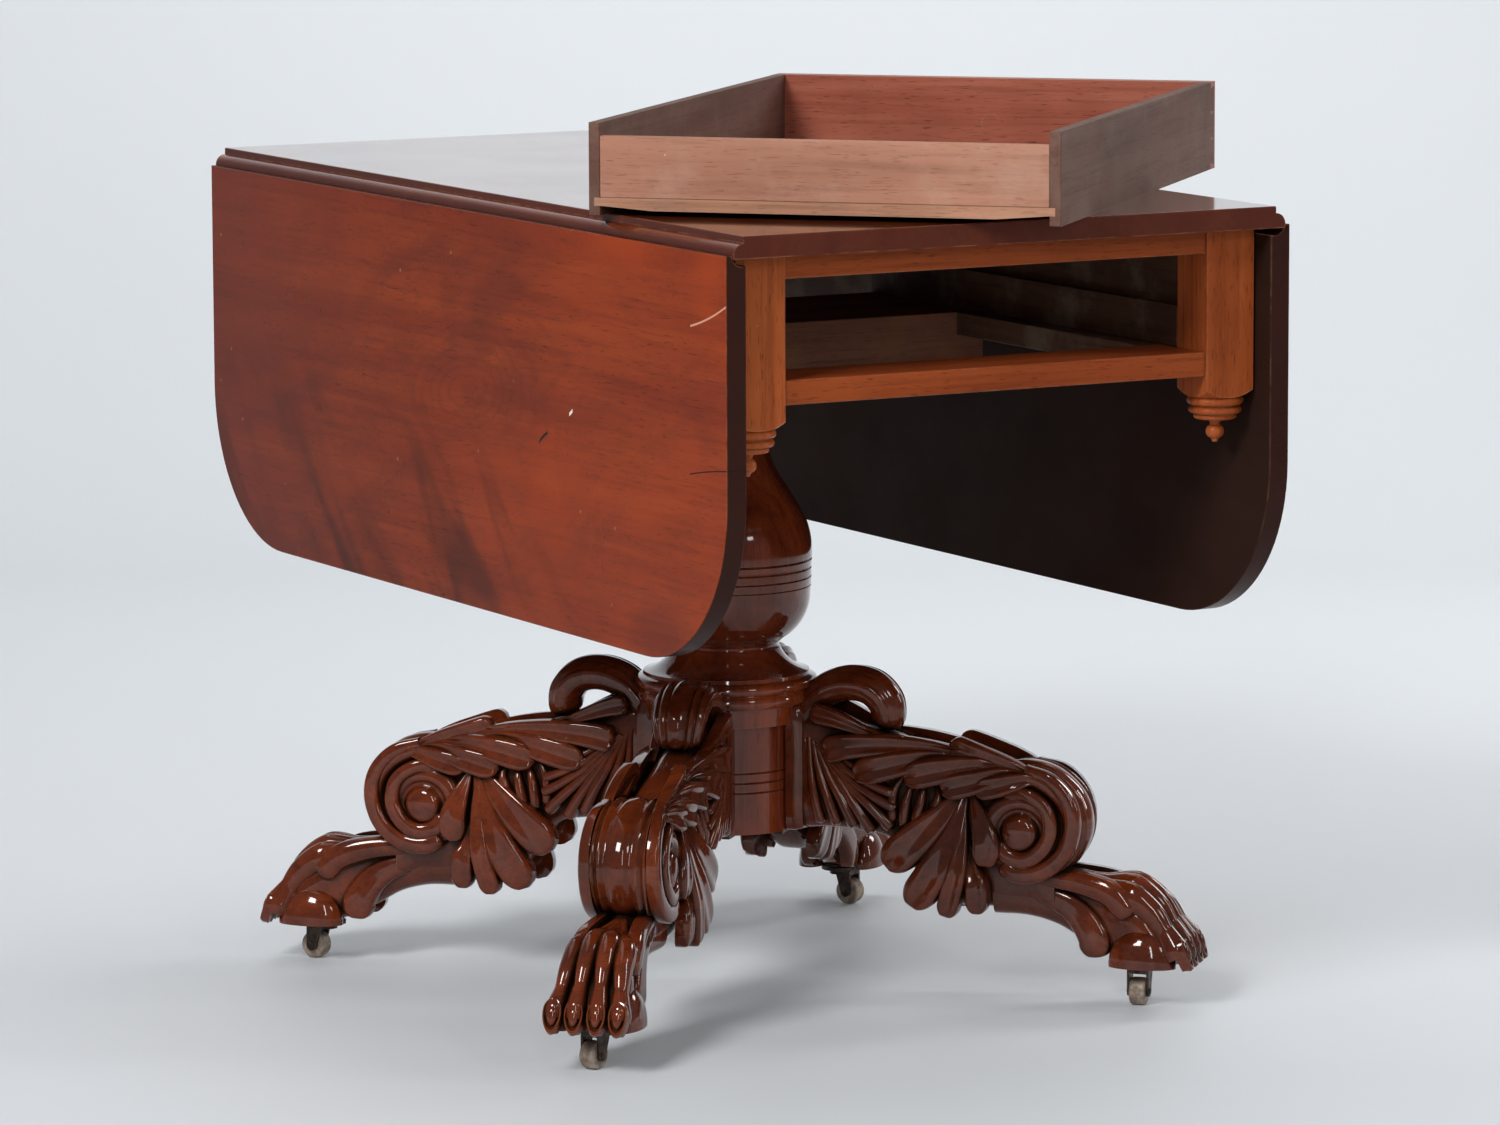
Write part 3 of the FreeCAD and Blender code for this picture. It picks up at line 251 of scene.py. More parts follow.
def top_edges(tree, place, colour):
    """Darker, purple-brown end grain and mouldings below the polished face."""
    side = calc(tree, "SUBTRACT", 1.0, between(tree, facing(tree)[2], 0.35, 0.85))
    return (blended(tree, calc(tree, "MULTIPLY", side, 0.75), colour, (0.058, 0.012, 0.008)),
            calc(tree, "MULTIPLY", side, 0.7))


top_finish = polished("top_mahogany", (0.050, 0.010, 0.005), (0.130, 0.026, 0.010),
                      (0.190, 0.045, 0.016), LENGTHWAYS, rough=0.13, figure=0.6, coat=0.8,
                      extra=top_edges)
dress(top_finish, "top_board")

# ---------------------------------------------------------------------------
# The leaves: two boards of the same mahogany, cut so that the figure swirls in
# the middle and darkens in flames low down. Their inner faces never got polish.
# ---------------------------------------------------------------------------


def stroke(tree, spot, start, end, bow, half):
    """A thin mark on a leaf between two places (along, height), bowed in its middle."""
    part = calc(tree, "MULTIPLY", calc(tree, "SUBTRACT", spot[1], start[0]),
                1 / (end[0] - start[0]))
    bend = calc(tree, "MULTIPLY", calc(tree, "MULTIPLY", part, calc(tree, "SUBTRACT", 1.0, part)),
                4 * bow)
    line = calc(tree, "ADD", calc(tree, "MULTIPLY_ADD", part, end[1] - start[1], start[1]), bend)
    near = calc(tree, "LESS_THAN", calc(tree, "ABSOLUTE", calc(tree, "SUBTRACT", spot[2], line)),
                half)
    within = calc(tree, "LESS_THAN", calc(tree, "ABSOLUTE", calc(tree, "SUBTRACT", part, 0.5)), 0.5)
    return calc(tree, "MULTIPLY", near, within)


def leaf_face(outward):
    """Colours for a leaf whose polished face points along X by the sign of outward."""

    def paint(tree, place, colour):
        spot = add(tree, "ShaderNodeSeparateXYZ", Vector=place).outputs
        twisted = stretch(tree, place, (1, 1, 2.3), (0.16, 0, 0), (0, -0.01, 0.565))
        wobble = clouds(tree, stretch(tree, place, (4, 4, 7)), 3.0, 0.5, 0.6)
        far = add(tree, "ShaderNodeVectorMath", {"operation": "LENGTH"}, i0=add(
            tree, "ShaderNodeVectorMath", {"operation": "MULTIPLY"}, i0=twisted,
            i1=(0, 1, 1)).outputs[0]).outputs["Value"]
        rings = calc(tree, "SINE", calc(tree, "MULTIPLY", calc(
            tree, "MULTIPLY_ADD", wobble, 0.26, far), 240.0))
        ringed = calc(tree, "MULTIPLY", between(tree, rings, 0.0, 1.0),
                      calc(tree, "MULTIPLY", between(tree, far, 0.34, 0.04), 0.26))
        colour = blended(tree, ringed, colour, (0.095, 0.014, 0.006))
        # lighter orange clouds, stronger towards the near end: the figure, with a painted glow of
        # reflected light over it
        figure_and_painted_glow = clouds(tree, stretch(tree, place, (1, 2.0, 4.4)), 3.0, 0.5, 0.8)
        painted_glow_near_end = between(tree, spot[1], 0.30, -0.35)
        colour = blended(tree, calc(tree, "MULTIPLY", between(tree, figure_and_painted_glow, 0.42, 0.68), calc(
            tree, "MULTIPLY_ADD", painted_glow_near_end, 0.55, 0.12)), colour, (0.33, 0.042, 0.006))
        drift = clouds(tree, stretch(tree, place, (1, 2.6, 9), (0.35, 0, 0)), 4.0, 0.55, 1.2)
        colour = blended(tree, calc(tree, "MULTIPLY", between(tree, drift, 0.48, 0.72), 0.45),
                         colour, (0.085, 0.014, 0.008))
        flames = clouds(tree, stretch(tree, place, (1, 5, 19), (-0.80, 0, 0)), 2.0, 0.5, 0.5)
        low = calc(tree, "MULTIPLY", between(tree, spot[2], 0.60, 0.44),
                   between(tree, spot[1], -0.30, 0.10))
        flame = calc(tree, "MULTIPLY", between(tree, flames, 0.42, 0.68),
                     calc(tree, "MULTIPLY", low, 0.80))
        colour = blended(tree, flame, colour, (0.036, 0.007, 0.004))
        colour = blended(tree, calc(tree, "MULTIPLY", between(tree, spot[1], 0.10, 0.56), 0.55),
                         colour, (0.110, 0.026, 0.020))
        if outward < 0:
            pale = stroke(tree, spot, (-0.412, 0.658), (-0.4732, 0.679), -0.0019, 0.0009)
            colour = blended(tree, calc(tree, "MULTIPLY", pale, 0.8), colour, (0.62, 0.30, 0.20))
            crack = stroke(tree, spot, (-0.410, 0.534), (-0.4825, 0.544), 0.001, 0.0006)
            colour = blended(tree, crack, colour, (0.020, 0.006, 0.004))
            chip = stroke(tree, spot, (-0.193, 0.561), (-0.199, 0.565), 0.0, 0.0016)
            colour = blended(tree, chip, colour, (0.75, 0.66, 0.60))
            gouge = stroke(tree, spot, (-0.136, 0.531), (-0.152, 0.541), 0.001, 0.0014)
            colour = blended(tree, gouge, colour, (0.012, 0.004, 0.003))
        out = calc(tree, "MULTIPLY", facing(tree)[0], float(outward))
        inside = between(tree, out, -0.4, -0.8)
        edge = calc(tree, "MULTIPLY", between(tree, out, 0.85, 0.3), 0.95)
        colour = blended(tree, edge, colour, (0.018, 0.008, 0.007))
        # the inner faces are painted near black: painted shade, as they face in under the table;
        # they are also left without polish
        return blended(tree, inside, colour, blended(
            tree, clouds(tree, stretch(tree, place, (6, 6, 14)), 4.0, 0.6), (0.010, 0.004, 0.003),
            (0.030, 0.011, 0.007))), inside

    return paint


for side, outward in (("left", -1), ("right", 1)):
    leaf_finish = polished("leaf_mahogany_" + side, (0.090, 0.012, 0.004), (0.185, 0.024, 0.006),
                           (0.250, 0.038, 0.008), LENGTHWAYS, rough=0.27, figure=0.3, coat=0.0,
                           wear=0.75, specular=0.12, extra=leaf_face(outward))
    dress(leaf_finish, "leaf_" + side)

# ---------------------------------------------------------------------------
# The table hinges: forged iron flaps, pins and screws, let in flush and rusty.
# ---------------------------------------------------------------------------


def dull_metal(name, dark, light, rough, metal, size=120.0):
    """Old metal: two tones in clouds, rougher where it is dark, with a pitted skin."""
    material, tree, shader = new_finish(name, rough, metal)
    place = tree.nodes.new("ShaderNodeTexCoord").outputs["Object"]
    tone = clouds(tree, stretch(tree, place, (size, size, size)), 5.0, 0.65)
    mask = between(tree, tone, 0.35, 0.68)
    colour = blended(tree, mask, dark, light)
    edges = use(tree, rubbed, Vector=place, Reach=0.0012, Amount=0.7)["Mask"]
    tree.links.new(blended(tree, edges, colour, tuple(min(1.0, part * 1.8) for part in light)),
                   shader.inputs["Base Color"])
    tree.links.new(calc(tree, "MULTIPLY_ADD", mask, -0.18, rough + 0.1),
                   shader.inputs["Roughness"])
    tree.links.new(add(tree, "ShaderNodeBump", Strength=0.35, Distance=0.0004,
                       Height=tone).outputs[0], shader.inputs["Normal"])
    return material


hinge_iron = dull_metal("hinge_iron", (0.030, 0.020, 0.016), (0.085, 0.065, 0.055), 0.5, 0.8)
dress(hinge_iron, "hinge_plates", "hinge_pins", "hinge_plate_screws", "hinge_flaps_left",
      "hinge_flaps_right", "hinge_flap_screws_left", "hinge_flap_screws_right",
      "bracket_pins", "tie_plate", "tie_screws")

# ---------------------------------------------------------------------------
# The frame: square corner posts rounded at the foot with turned drops under them,
# and rails above and below the drawer, in plain mahogany rubbed to a satin.
# ---------------------------------------------------------------------------
FRAME_TONES = ((0.130, 0.026, 0.008), (0.280, 0.058, 0.014), (0.390, 0.092, 0.024))
RAIL_TONES = ((0.100, 0.019, 0.006), (0.205, 0.038, 0.009), (0.285, 0.060, 0.015))
post_finish = polished("post_mahogany", *FRAME_TONES, UPRIGHT, rough=0.36, figure=0.3, coat=0.08,
                       wear=0.8, worn=(0.42, 0.22, 0.12))
rail_finish = polished("rail_mahogany", *RAIL_TONES, CROSSWAYS, rough=0.36, figure=0.3, coat=0.1,
                       wear=0.8, worn=(0.42, 0.24, 0.14))
for end in ("front", "rear"):
    for side in ("left", "right"):
        dress(post_finish, "post_%s_%s" % (end, side), "finial_%s_%s" % (end, side))
dress(rail_finish, "rail_upper", "rail_lower")

# ---------------------------------------------------------------------------
# Inside the frame: aprons, runners, guides, kickers, swinging leaf supports and
# the bearer block, in bare secondary wood that is dusty and worn by the drawer.
# ---------------------------------------------------------------------------


def bare(name, dark, middle, light, grain, dust=(0.22, 0.16, 0.12), dusty=0.4, rough=0.62):
    """Unpolished timber: grain, rubbed pale edges, and dust lying in clouds."""

    def settle(tree, place, colour):
        patch = clouds(tree, stretch(tree, place, (16, 16, 16)), 5.0, 0.65)
        return blended(tree, calc(tree, "MULTIPLY", between(tree, patch, 0.45, 0.75), dusty),
                       colour, dust), None

    worn = tuple(part * 1.25 for part in dust)
    return polished(name, dark, middle, light, grain, rough=rough, figure=0.3, pores=0.35,
                    specular=0.2, coat=0.0, worn=worn, wear=0.7, relief=0.3, extra=settle)


# the long-grain parts inside the frame are painted far darker than the other bare wood: painted
# shade for the inside of the frame
INNER_PAINTED_SHADE_TONES = ((0.020, 0.008, 0.005), (0.050, 0.021, 0.012), (0.080, 0.036, 0.021))
inner_long_painted_shade = bare("inner_wood_long_painted_shade", *INNER_PAINTED_SHADE_TONES, LENGTHWAYS)
inner_cross = bare("inner_wood_cross", (0.05, 0.02, 0.013), (0.115, 0.045, 0.026),
                   (0.17, 0.075, 0.042), CROSSWAYS, dust=(0.20, 0.075, 0.03), dusty=0.5)
dress(inner_long_painted_shade, "apron_left", "apron_right", "drawer_runners", "drawer_guides",
      "drawer_kickers", "fly_rail_left", "fly_rail_right", "fly_brackets", "glue_blocks")
dress(inner_cross, "apron_rear", "bearer_block")

# ---------------------------------------------------------------------------
# The drawer: thin bare linings dovetailed to a mahogany front, with a bevelled
# bottom let into grooves. It lies askew on the top, its low back to the corner.
# ---------------------------------------------------------------------------
DRAWER_TURN = math.radians(44.8)
DRAWER_LONG, DRAWER_CROSS = (0, 0, -DRAWER_TURN), (0, 0, -DRAWER_TURN - math.pi / 2)
# the side linings are the back's wood painted about a third as bright, dust too: painted shade on
# the drawer sides
side_lining_painted_shade = bare("drawer_side_wood_painted_shade", (0.060, 0.026, 0.019), (0.098, 0.045, 0.034),
                   (0.135, 0.070, 0.053), DRAWER_LONG, dust=(0.15, 0.10, 0.08), dusty=0.5)
back_lining = bare("drawer_back_wood", (0.20, 0.088, 0.058), (0.320, 0.146, 0.096),
                   (0.390, 0.188, 0.126), DRAWER_CROSS, dust=(0.42, 0.26, 0.19), dusty=0.45)
bottom_lining = bare("drawer_bottom_wood", (0.16, 0.070, 0.040), (0.32, 0.15, 0.090),
                     (0.42, 0.22, 0.14), DRAWER_CROSS, dusty=0.3)
front_finish = polished("drawer_front_mahogany", (0.15, 0.036, 0.022), (0.27, 0.072, 0.045),
                        (0.35, 0.115, 0.075), DRAWER_CROSS, rough=0.42, figure=0.5, coat=0.05)
dress(side_lining_painted_shade, "drawer_side_left", "drawer_side_right")
dress(back_lining, "drawer_back")
dress(bottom_lining, "drawer_bottom")
dress(front_finish, "drawer_front", "drawer_knob")

# ---------------------------------------------------------------------------
# The pedestal: a vase column tenoned into the bearer block above and the drum
# below, both turned from solid mahogany and polished to a deep gloss.
# ---------------------------------------------------------------------------
turned_finish = polished("turned_mahogany", (0.045, 0.008, 0.004), (0.140, 0.022, 0.007),
                         (0.250, 0.045, 0.012), UPRIGHT, rough=0.08, figure=0.75,
                         coat=0.8, specular=0.08,
                         wear=0.5, reach=0.0015)
dress(turned_finish, "column", "drum")

# ---------------------------------------------------------------------------
# The legs: each sawn from a plank, its tongue let into the drum, then carved on
# both sides with acanthus leaves, a rolled scroll, a curled crest and a lion's paw.
# ---------------------------------------------------------------------------
COLUMN_FOOT = np.array([-0.0406, 0.03225, 0.0])
PAW_BASE = 36.0


def smooth_line(knots, steps):
    """A curve through its knots: every span blends its four nearest ones by cubic weights."""
    knots = np.asarray(knots, float)
    ends = np.vstack([2 * knots[0] - knots[1], knots, 2 * knots[-1] - knots[-2]])
    run = np.linspace(0, len(knots) - 1 - 1e-9, steps)
    first = run.astype(int)
    part = (run - first)[:, None]
    a, b, c, d = (ends[first + shift] for shift in range(4))
    return 0.5 * (2 * b + (c - a) * part + (2 * a - 5 * b + 4 * c - d) * part ** 2
                  + (3 * b - a - 3 * c + d) * part ** 3)


def skin(grid):
    """A closed shell over an n by m grid of points, round the second axis, capped by fans.

    Its volume, the sum of corner . (next x last) over the triangles, is made positive.
    """
    rows, around = grid.shape[:2]
    points = np.vstack([grid.reshape(-1, 3), grid[0].mean(0), grid[-1].mean(0)])
    i, j = (axis.ravel() for axis in np.meshgrid(np.arange(rows - 1), np.arange(around),
                                                 indexing="ij"))
    k = (j + 1) % around
    one, two = i * around + j, i * around + k
    three, four = two + around, one + around
    j = np.arange(around)
    k = (j + 1) % around
    near, far = rows * around, rows * around + 1
    last = (rows - 1) * around
    faces = np.vstack([np.column_stack([one, two, three]), np.column_stack([one, three, four]),
                       np.column_stack([k, j, np.full(around, near)]),
                       np.column_stack([last + j, last + k, np.full(around, far)])])
    corners = points[faces]
    volume = np.einsum("ij,ij->i", corners[:, 0], np.cross(corners[:, 1], corners[:, 2])).sum()
    return points, faces if volume > 0 else faces[:, ::-1]


def normals_along(line):
    """Unit directions across a curve in the side plane, turned a quarter left of its run."""
    run = np.gradient(line[:, :2], axis=0)
    run /= np.linalg.norm(run, axis=1)[:, None] + 1e-9
    return np.column_stack([-run[:, 1], run[:, 0]])


def carved_leaf(knots, width, height, face, steps=44, around=24, root=0.35, dish=0.30,
                swell=1.3):
    """One leaf lobe lying on the side of a leg; points are (reach, side, height).

    Along it, the half width rises from the root to full, by a sine to the power swell,
    and closes in a half circle at the tip. Across it, with s from -1 to 1, the height is
    (1 - s^2)^0.3 less a dish of (1 - s^2)^2; the underside is flat and sunk in the leg.
    """
    line = smooth_line(knots, steps)
    length = np.linalg.norm(np.diff(line[:, :2], axis=0), axis=1).sum()
    t = np.linspace(0, 1, steps)
    turn = 1 - min(0.9, width * 1.15 / length)
    opening = root + (1 - root) * np.sin(np.clip(t / turn, 0, 1) * math.pi / 2) ** swell
    closing = np.sqrt(np.clip(1 - (np.clip(t - turn, 0, None) / (1 - turn)) ** 2, 0, 1))
    half = width * opening * closing
    tall = height * (0.45 + 0.55 * np.sin(np.clip(t * 1.25, 0, 1) * math.pi / 2))
    tall = tall * np.clip(closing, 0, 1) ** 0.5
    angle = np.linspace(0, 2 * math.pi, around, endpoint=False)
    s = np.cos(angle)
    crown = np.sqrt(np.clip(1 - s ** 2, 0, 1)) ** 0.6
    profile = crown - dish * (1 - s ** 2) ** 2
    upper = np.sin(angle) > 1e-6
    out = normals_along(line)
    spread = half[:, None] * s[None, :]
    rise = np.where(upper, tall[:, None] * profile[None, :], -5.0)
    reach = line[:, 0:1] + out[:, 0:1] * spread
    high = line[:, 1:2] + out[:, 1:2] * spread
    level = line[:, 2:3] if line.shape[1] > 2 else 0.0
    return np.stack([reach, face + level + rise, high], -1)


def swept(knots, across, thick, steps=60, around=40, flutes=0, depth=0.0, square=0.8, tip=0.0):
    """A bar carried along a curve in the side plane.

    Its section is a superellipse, half as wide as across and half as thick as thick,
    given at knots along it. Flutes press grooves into its outer side by the cosine of the
    squared distance from its middle, so the middle lobe is the widest. The last part of
    it, a fraction tip of its length, closes in a half circle.
    """
    line = smooth_line(knots, steps)
    t = np.linspace(0, 1, steps)
    wide = np.interp(t, np.linspace(0, 1, len(across)), across)
    deep = np.interp(t, np.linspace(0, 1, len(thick)), thick)
    if tip:
        closing = np.sqrt(np.clip(1 - (np.clip(t - 1 + tip, 0, None) / tip) ** 2, 0.0004, 1))
        wide, deep = wide * closing, deep * closing
    angle = np.linspace(0, 2 * math.pi, around, endpoint=False)
    c, s = np.cos(angle), np.sin(angle)
    side = np.sign(c) * np.abs(c) ** square
    over = np.sign(s) * np.abs(s) ** square
    groove = 1 - depth * (0.5 - 0.5 * np.cos(side ** 2 * math.pi * flutes)) * (s > 0)
    out = normals_along(line)
    rise = deep[:, None] * (over * groove)[None, :]
    return np.stack([line[:, 0:1] + out[:, 0:1] * rise,
                     line[:, 2:3] + wide[:, None] * side[None, :] if line.shape[1] > 2
                     else wide[:, None] * side[None, :],
                     line[:, 1:2] + out[:, 1:2] * rise], -1)


def slab(stations, round_by=0.55):
    """The leg's core: at each reach, a rounded block from its underside to its top.

    Stations are (reach, underside, top, half thickness), joined by smooth lines; the
    section is a superellipse with that exponent.
    """
    line = smooth_line(stations, 90)
    angle = np.linspace(0, 2 * math.pi, 48, endpoint=False)
    c, s = np.cos(angle), np.sin(angle)
    side = np.sign(c) * np.abs(c) ** round_by
    over = np.sign(s) * np.abs(s) ** round_by
    middle, tall = (line[:, 1] + line[:, 2]) / 2, (line[:, 2] - line[:, 1]) / 2
    return np.stack([np.repeat(line[:, 0:1], 48, 1), line[:, 3:4] * side[None, :],
                     middle[:, None] + tall[:, None] * over[None, :]], -1)


def blob(centre, radii, flat, steps=20, around=28):
    """A cushion: an ellipsoid about a centre, its underside cut level at flat."""
    lat = np.linspace(0.04, math.pi - 0.04, steps)[:, None]
    lon = np.linspace(0, 2 * math.pi, around, endpoint=False)[None, :]
    grid = np.stack([centre[0] + radii[0] * np.sin(lat) * np.cos(lon),
                     centre[1] + radii[1] * np.sin(lat) * np.sin(lon),
                     centre[2] + radii[2] * np.cos(lat) * np.ones_like(lon)], -1)
    grid[..., 2] = np.maximum(grid[..., 2], flat)
    return grid


def button(centre, rings, face):
    """A turned boss on the side of the scroll: rings are (radius, height) from the rim in."""
    rings = np.asarray(rings, float)
    angle = np.linspace(0, 2 * math.pi, 56, endpoint=False)
    return np.stack([centre[0] + rings[:, 0:1] * np.cos(angle)[None, :],
                     np.repeat(face + rings[:, 1:2], 56, 1),
                     centre[1] + rings[:, 0:1] * np.sin(angle)[None, :]], -1)


# the half thickness of the plank where the leaves lie, and the half width of the scroll
CHEEK, SCROLL = 23.0, 29.0
# how far the two toes on each side stand from the leg's middle
TOES = (9.6, 28.0)

# long leaves along the top, their round tips turned back towards the drum:
# knots of (reach, height, lift), then half width and height
TOP_LEAVES = (
    (((306, 200, -1), (276, 213, 2), (240, 222, 2), (214, 229, -1)), 12, 9),
    (((262, 214, -3), (215, 226, 0), (168, 229, 4), (122, 226, 5), (98, 221, 4)), 12.5, 11),
    (((236, 216, -3), (206, 219, 1), (168, 212, 6), (126, 201, 5)), 13.5, 12),
    (((276, 208, -2), (248, 214, 3), (212, 209, 7), (173, 200, 6)), 13.5, 12),
    (((300, 205, -1), (268, 207, 4), (240, 199, 7), (208, 191, 6)), 12.5, 12),
    (((310, 200, -1), (290, 203, 4), (264, 197, 7), (240, 191, 6)), 11, 11),
    (((170, 230, -2), (138, 240, 2), (108, 251, 4), (86, 256, 3)), 9, 9),
)
# flutes that fan down from the drum, and small side leaves between
FLUTES = (
    (((84, 232, 0), (86, 205, 1), (90, 178, 2), (96, 153, 1)), 5.0, 6),
    (((88, 228, 0), (94, 203, 2), (103, 178, 3), (112, 152, 2)), 5.4, 7),
    (((90, 226, 0), (104, 198, 3), (118, 174, 4), (129, 151, 3)), 5.8, 8),
    (((92, 226, 0), (114, 194, 4), (132, 168, 5), (145, 147, 3)), 6.0, 8),
    (((92, 226, 1), (122, 192, 5), (146, 170, 6), (164, 152, 4)), 5.6, 8),
    (((94, 227, 1), (124, 197, 5), (148, 181, 6), (168, 170, 5)), 5.2, 8),
    (((98, 226, 1), (124, 203, 5), (146, 192, 6), (166, 184, 5)), 5.0, 8),
    (((104, 222, 1), (126, 209, 4), (144, 202, 5), (164, 198, 5)), 4.8, 7),
    (((176, 204, 0), (166, 190, 3), (163, 176, 4), (164, 158, 3)), 5.0, 7),
    (((184, 200, 0), (178, 184, 4), (175, 170, 5), (174, 154, 4)), 5.2, 8),
    (((192, 198, 0), (191, 184, 4), (188, 170, 5), (184, 158, 4)), 5.2, 8),
    (((202, 196, 0), (206, 186, 3), (204, 176, 4), (198, 164, 3)), 5.0, 7),
)
# the great leaf that hangs over the knee, lobe by lobe
KNEE_LEAVES = (
    (((230, 192, -1), (208, 166, 4), (184, 142, 7), (157, 118, 7)), 17.5, 12),
    (((232, 190, 0), (221, 150, 6), (205, 118, 9), (181, 82, 7)), 16.5, 13),
    (((236, 190, 0), (246, 164, 7), (252, 144, 9), (250, 122, 8)), 13, 11),
    (((232, 150, 1), (238, 120, 6), (243, 104, 9), (243, 78, 7)), 11, 11),
    (((230, 186, 1), (229, 145, 7), (224, 112, 11), (214, 74, 8)), 10.5, 12),
)
# bands that roll round the scroll's button
SCROLL_LEAVES = (
    (((286, 210, -1), (310, 203, 3), (327, 184, 4), (331, 160, 4), (322, 136, 4),
      (302, 120, 4), (280, 117, 3), (264, 126, 0)), 8.5, 8),
    (((268, 188, 0), (288, 190, 4), (306, 178, 5), (311, 158, 5), (303, 140, 5),
      (287, 130, 4), (270, 134, 2), (261, 147, 0)), 8.0, 8),
)


def leg_shells():
    """Every shell of one leg, with reach from the column's axis, side and height in mm."""
    shells = [
        slab(((63, 147, 256, 21), (80, 147, 257, 23), (100, 148, 255, 23), (130, 146, 243, 23),
              (160, 138, 236, 22), (190, 100, 228, 22), (215, 84, 221, 23), (245, 82, 212, 23),
              (270, 84, 200, 22), (288, 88, 170, 21), (300, 86, 130, 21), (312, 82, 121, 21))),
        slab(((255, 76, 116, 20), (285, 75, 121, 17), (312, 68, 120, 15), (335, 55, 116, 16),
              (355, 45, 113, 20), (375, 38, 106, 26), (395, 37, 92, 31), (412, 37, 74, 30),
              (424, 38, 60, 25)), 0.7),
        slab(((63, 145, 262, 26), (66, 145, 263, 26), (70, 145, 263, 26), (74, 146, 262, 25.5),
              (78, 147, 258, 24)), 0.25),
        swept(((66, 240), (80, 258), (96, 273), (117, 280), (137, 277), (150, 265), (153, 251),
               (151, 238)), (20, 23, 25, 26, 26, 25, 22, 18), (12, 14, 15.5, 16, 16, 15.5, 15, 13),
              steps=80, around=72, flutes=6, depth=0.26, square=0.85, tip=0.10),
        swept(((250, 196), (276, 205), (303, 200), (324, 182), (330, 158), (320, 135),
               (300, 122), (278, 122)), (24, 30, 33, 34, 34, 32, 28, 22),
              (10, 12, 13, 13, 13, 13, 12, 8), steps=80, around=96, flutes=8, depth=0.30,
              square=0.8),
    ]
    for sign in (1, -1):
        sides = [carved_leaf(*leaf, CHEEK, dish=0.5, swell=1.5, root=0.14) for leaf in TOP_LEAVES]
        sides += [carved_leaf(*leaf, CHEEK - 2, dish=0.0, around=16, steps=32, root=0.5)
                  for leaf in FLUTES]
        sides += [carved_leaf(*leaf, CHEEK, dish=0.34, root=0.16, steps=52, around=32,
                              swell=1.0) for leaf in KNEE_LEAVES]
        sides += [carved_leaf(*leaf, SCROLL - 2, dish=0.10, root=0.7, steps=64)
                  for leaf in SCROLL_LEAVES]
        sides.append(button((282, 154), ((40, -12), (38, 0), (33, 3), (27, 4), (24, 3.5), (22, 1),
                                         (19.5, 0), (17.5, 1), (16, 4.5), (14.5, 6.2), (11, 7.4),
                                         (6, 8.2), (1.5, 8.5)), SCROLL - 1))
        sides += [
            carved_leaf(((268, 112, -4), (300, 98, -2), (330, 84, 1), (348, 62, 4), (350, 42, 4)),
                        15, 9, 15, root=0.3, dish=0.16, steps=60, around=30),
            carved_leaf(((252, 124, -3), (296, 114, 0), (336, 110, 4), (366, 101, 8),
                         (384, 82, 9)), 12, 8, 16, root=0.5, dish=-0.05, steps=60),
            blob((394, 26, 39), (31, 15, 32), PAW_BASE + 1),
        ]
        for place in TOES:
            lateral = np.array([0.04, 0.14, 0.42, 0.76, 0.86, 0.94, 1.04, 1.05]) * place
            knuckle = 0.0 if place < 20 else -5.0
            path = [(r, z + knuckle * w, side) for (r, z, w), side in zip(
                ((296, 118, 0), (328, 111, 0), (356, 106, 0.4), (382, 105, 1), (402, 92, 1),
                 (414, 75, 0.8), (424, 58, 0.4), (428, 48, 0)), lateral)]
            sides.append(swept(path, (2.5, 4.2, 7.4, 9.6, 8.2, 6.4, 9.4, 9.0),
                               (5, 8, 10, 13.5, 11.5, 9.5, 13, 11),
                               steps=76, around=32, square=0.95))
            sides.append(carved_claw(place * 1.05))
        for grid in sides:
            side = grid.copy()
            side[..., 1] *= sign
            shells.append(side)
    return [skin(grid) for grid in shells]


def carved_claw(place):
    """A claw: an oval nail standing from the toe's end, in a raised collar.

    Rings of (size, stand) shrink about the nail's middle; each ring is an ellipse 7 by 13.
    """
    rings = np.array([(1.28, -6.0), (1.26, 0.5), (1.18, 3.4), (1.02, 3.6), (0.88, 0.8), (0.80, 0.4),
                      (0.72, 3.2), (0.55, 5.0), (0.35, 5.9), (0.08, 6.3)])
    angle = np.linspace(0, 2 * math.pi, 30, endpoint=False)
    across = rings[:, 0:1] * 7.0 * np.cos(angle)
    along = rings[:, 0:1] * 13.0 * np.sin(angle) * (1 - 0.18 * np.sin(angle))
    out = np.repeat(rings[:, 1:2], 30, 1)
    tilt = math.radians(24)
    reach = 432.5 + out * math.cos(tilt) - along * math.sin(tilt) * 0.9
    high = 54 + along * math.cos(tilt) + out * math.sin(tilt)
    return np.stack([reach, place + across, np.maximum(high, PAW_BASE + 0.5)], -1)


def mesh_of(name, shells, material, body, sharp=50):
    """One object from closed shells in metres, smooth but for edges sharper than an angle."""
    points = np.vstack([shell[0] for shell in shells])
    starts = np.cumsum([0] + [len(shell[0]) for shell in shells[:-1]])
    faces = np.vstack([shell[1] + start for shell, start in zip(shells, starts)])
    mesh = bpy.data.meshes.new(name)
    mesh.vertices.add(len(points))
    mesh.vertices.foreach_set("co", points.astype(np.float32).ravel())
    mesh.loops.add(faces.size)
    mesh.loops.foreach_set("vertex_index", faces.astype(np.int32).ravel())
    mesh.polygons.add(len(faces))
    mesh.polygons.foreach_set("loop_start", np.arange(0, faces.size, 3, dtype=np.int32))
    mesh.update(calc_edges=True)
    mesh.validate()
    mesh.polygons.foreach_set("use_smooth", np.ones(len(mesh.polygons), bool))
    mesh.set_sharp_from_angle(angle=math.radians(sharp))
    mesh.materials.append(material)
    piece = bpy.data.objects.new(name, mesh)
    bpy.context.scene.collection.objects.link(piece)
    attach(piece, body)
    return piece


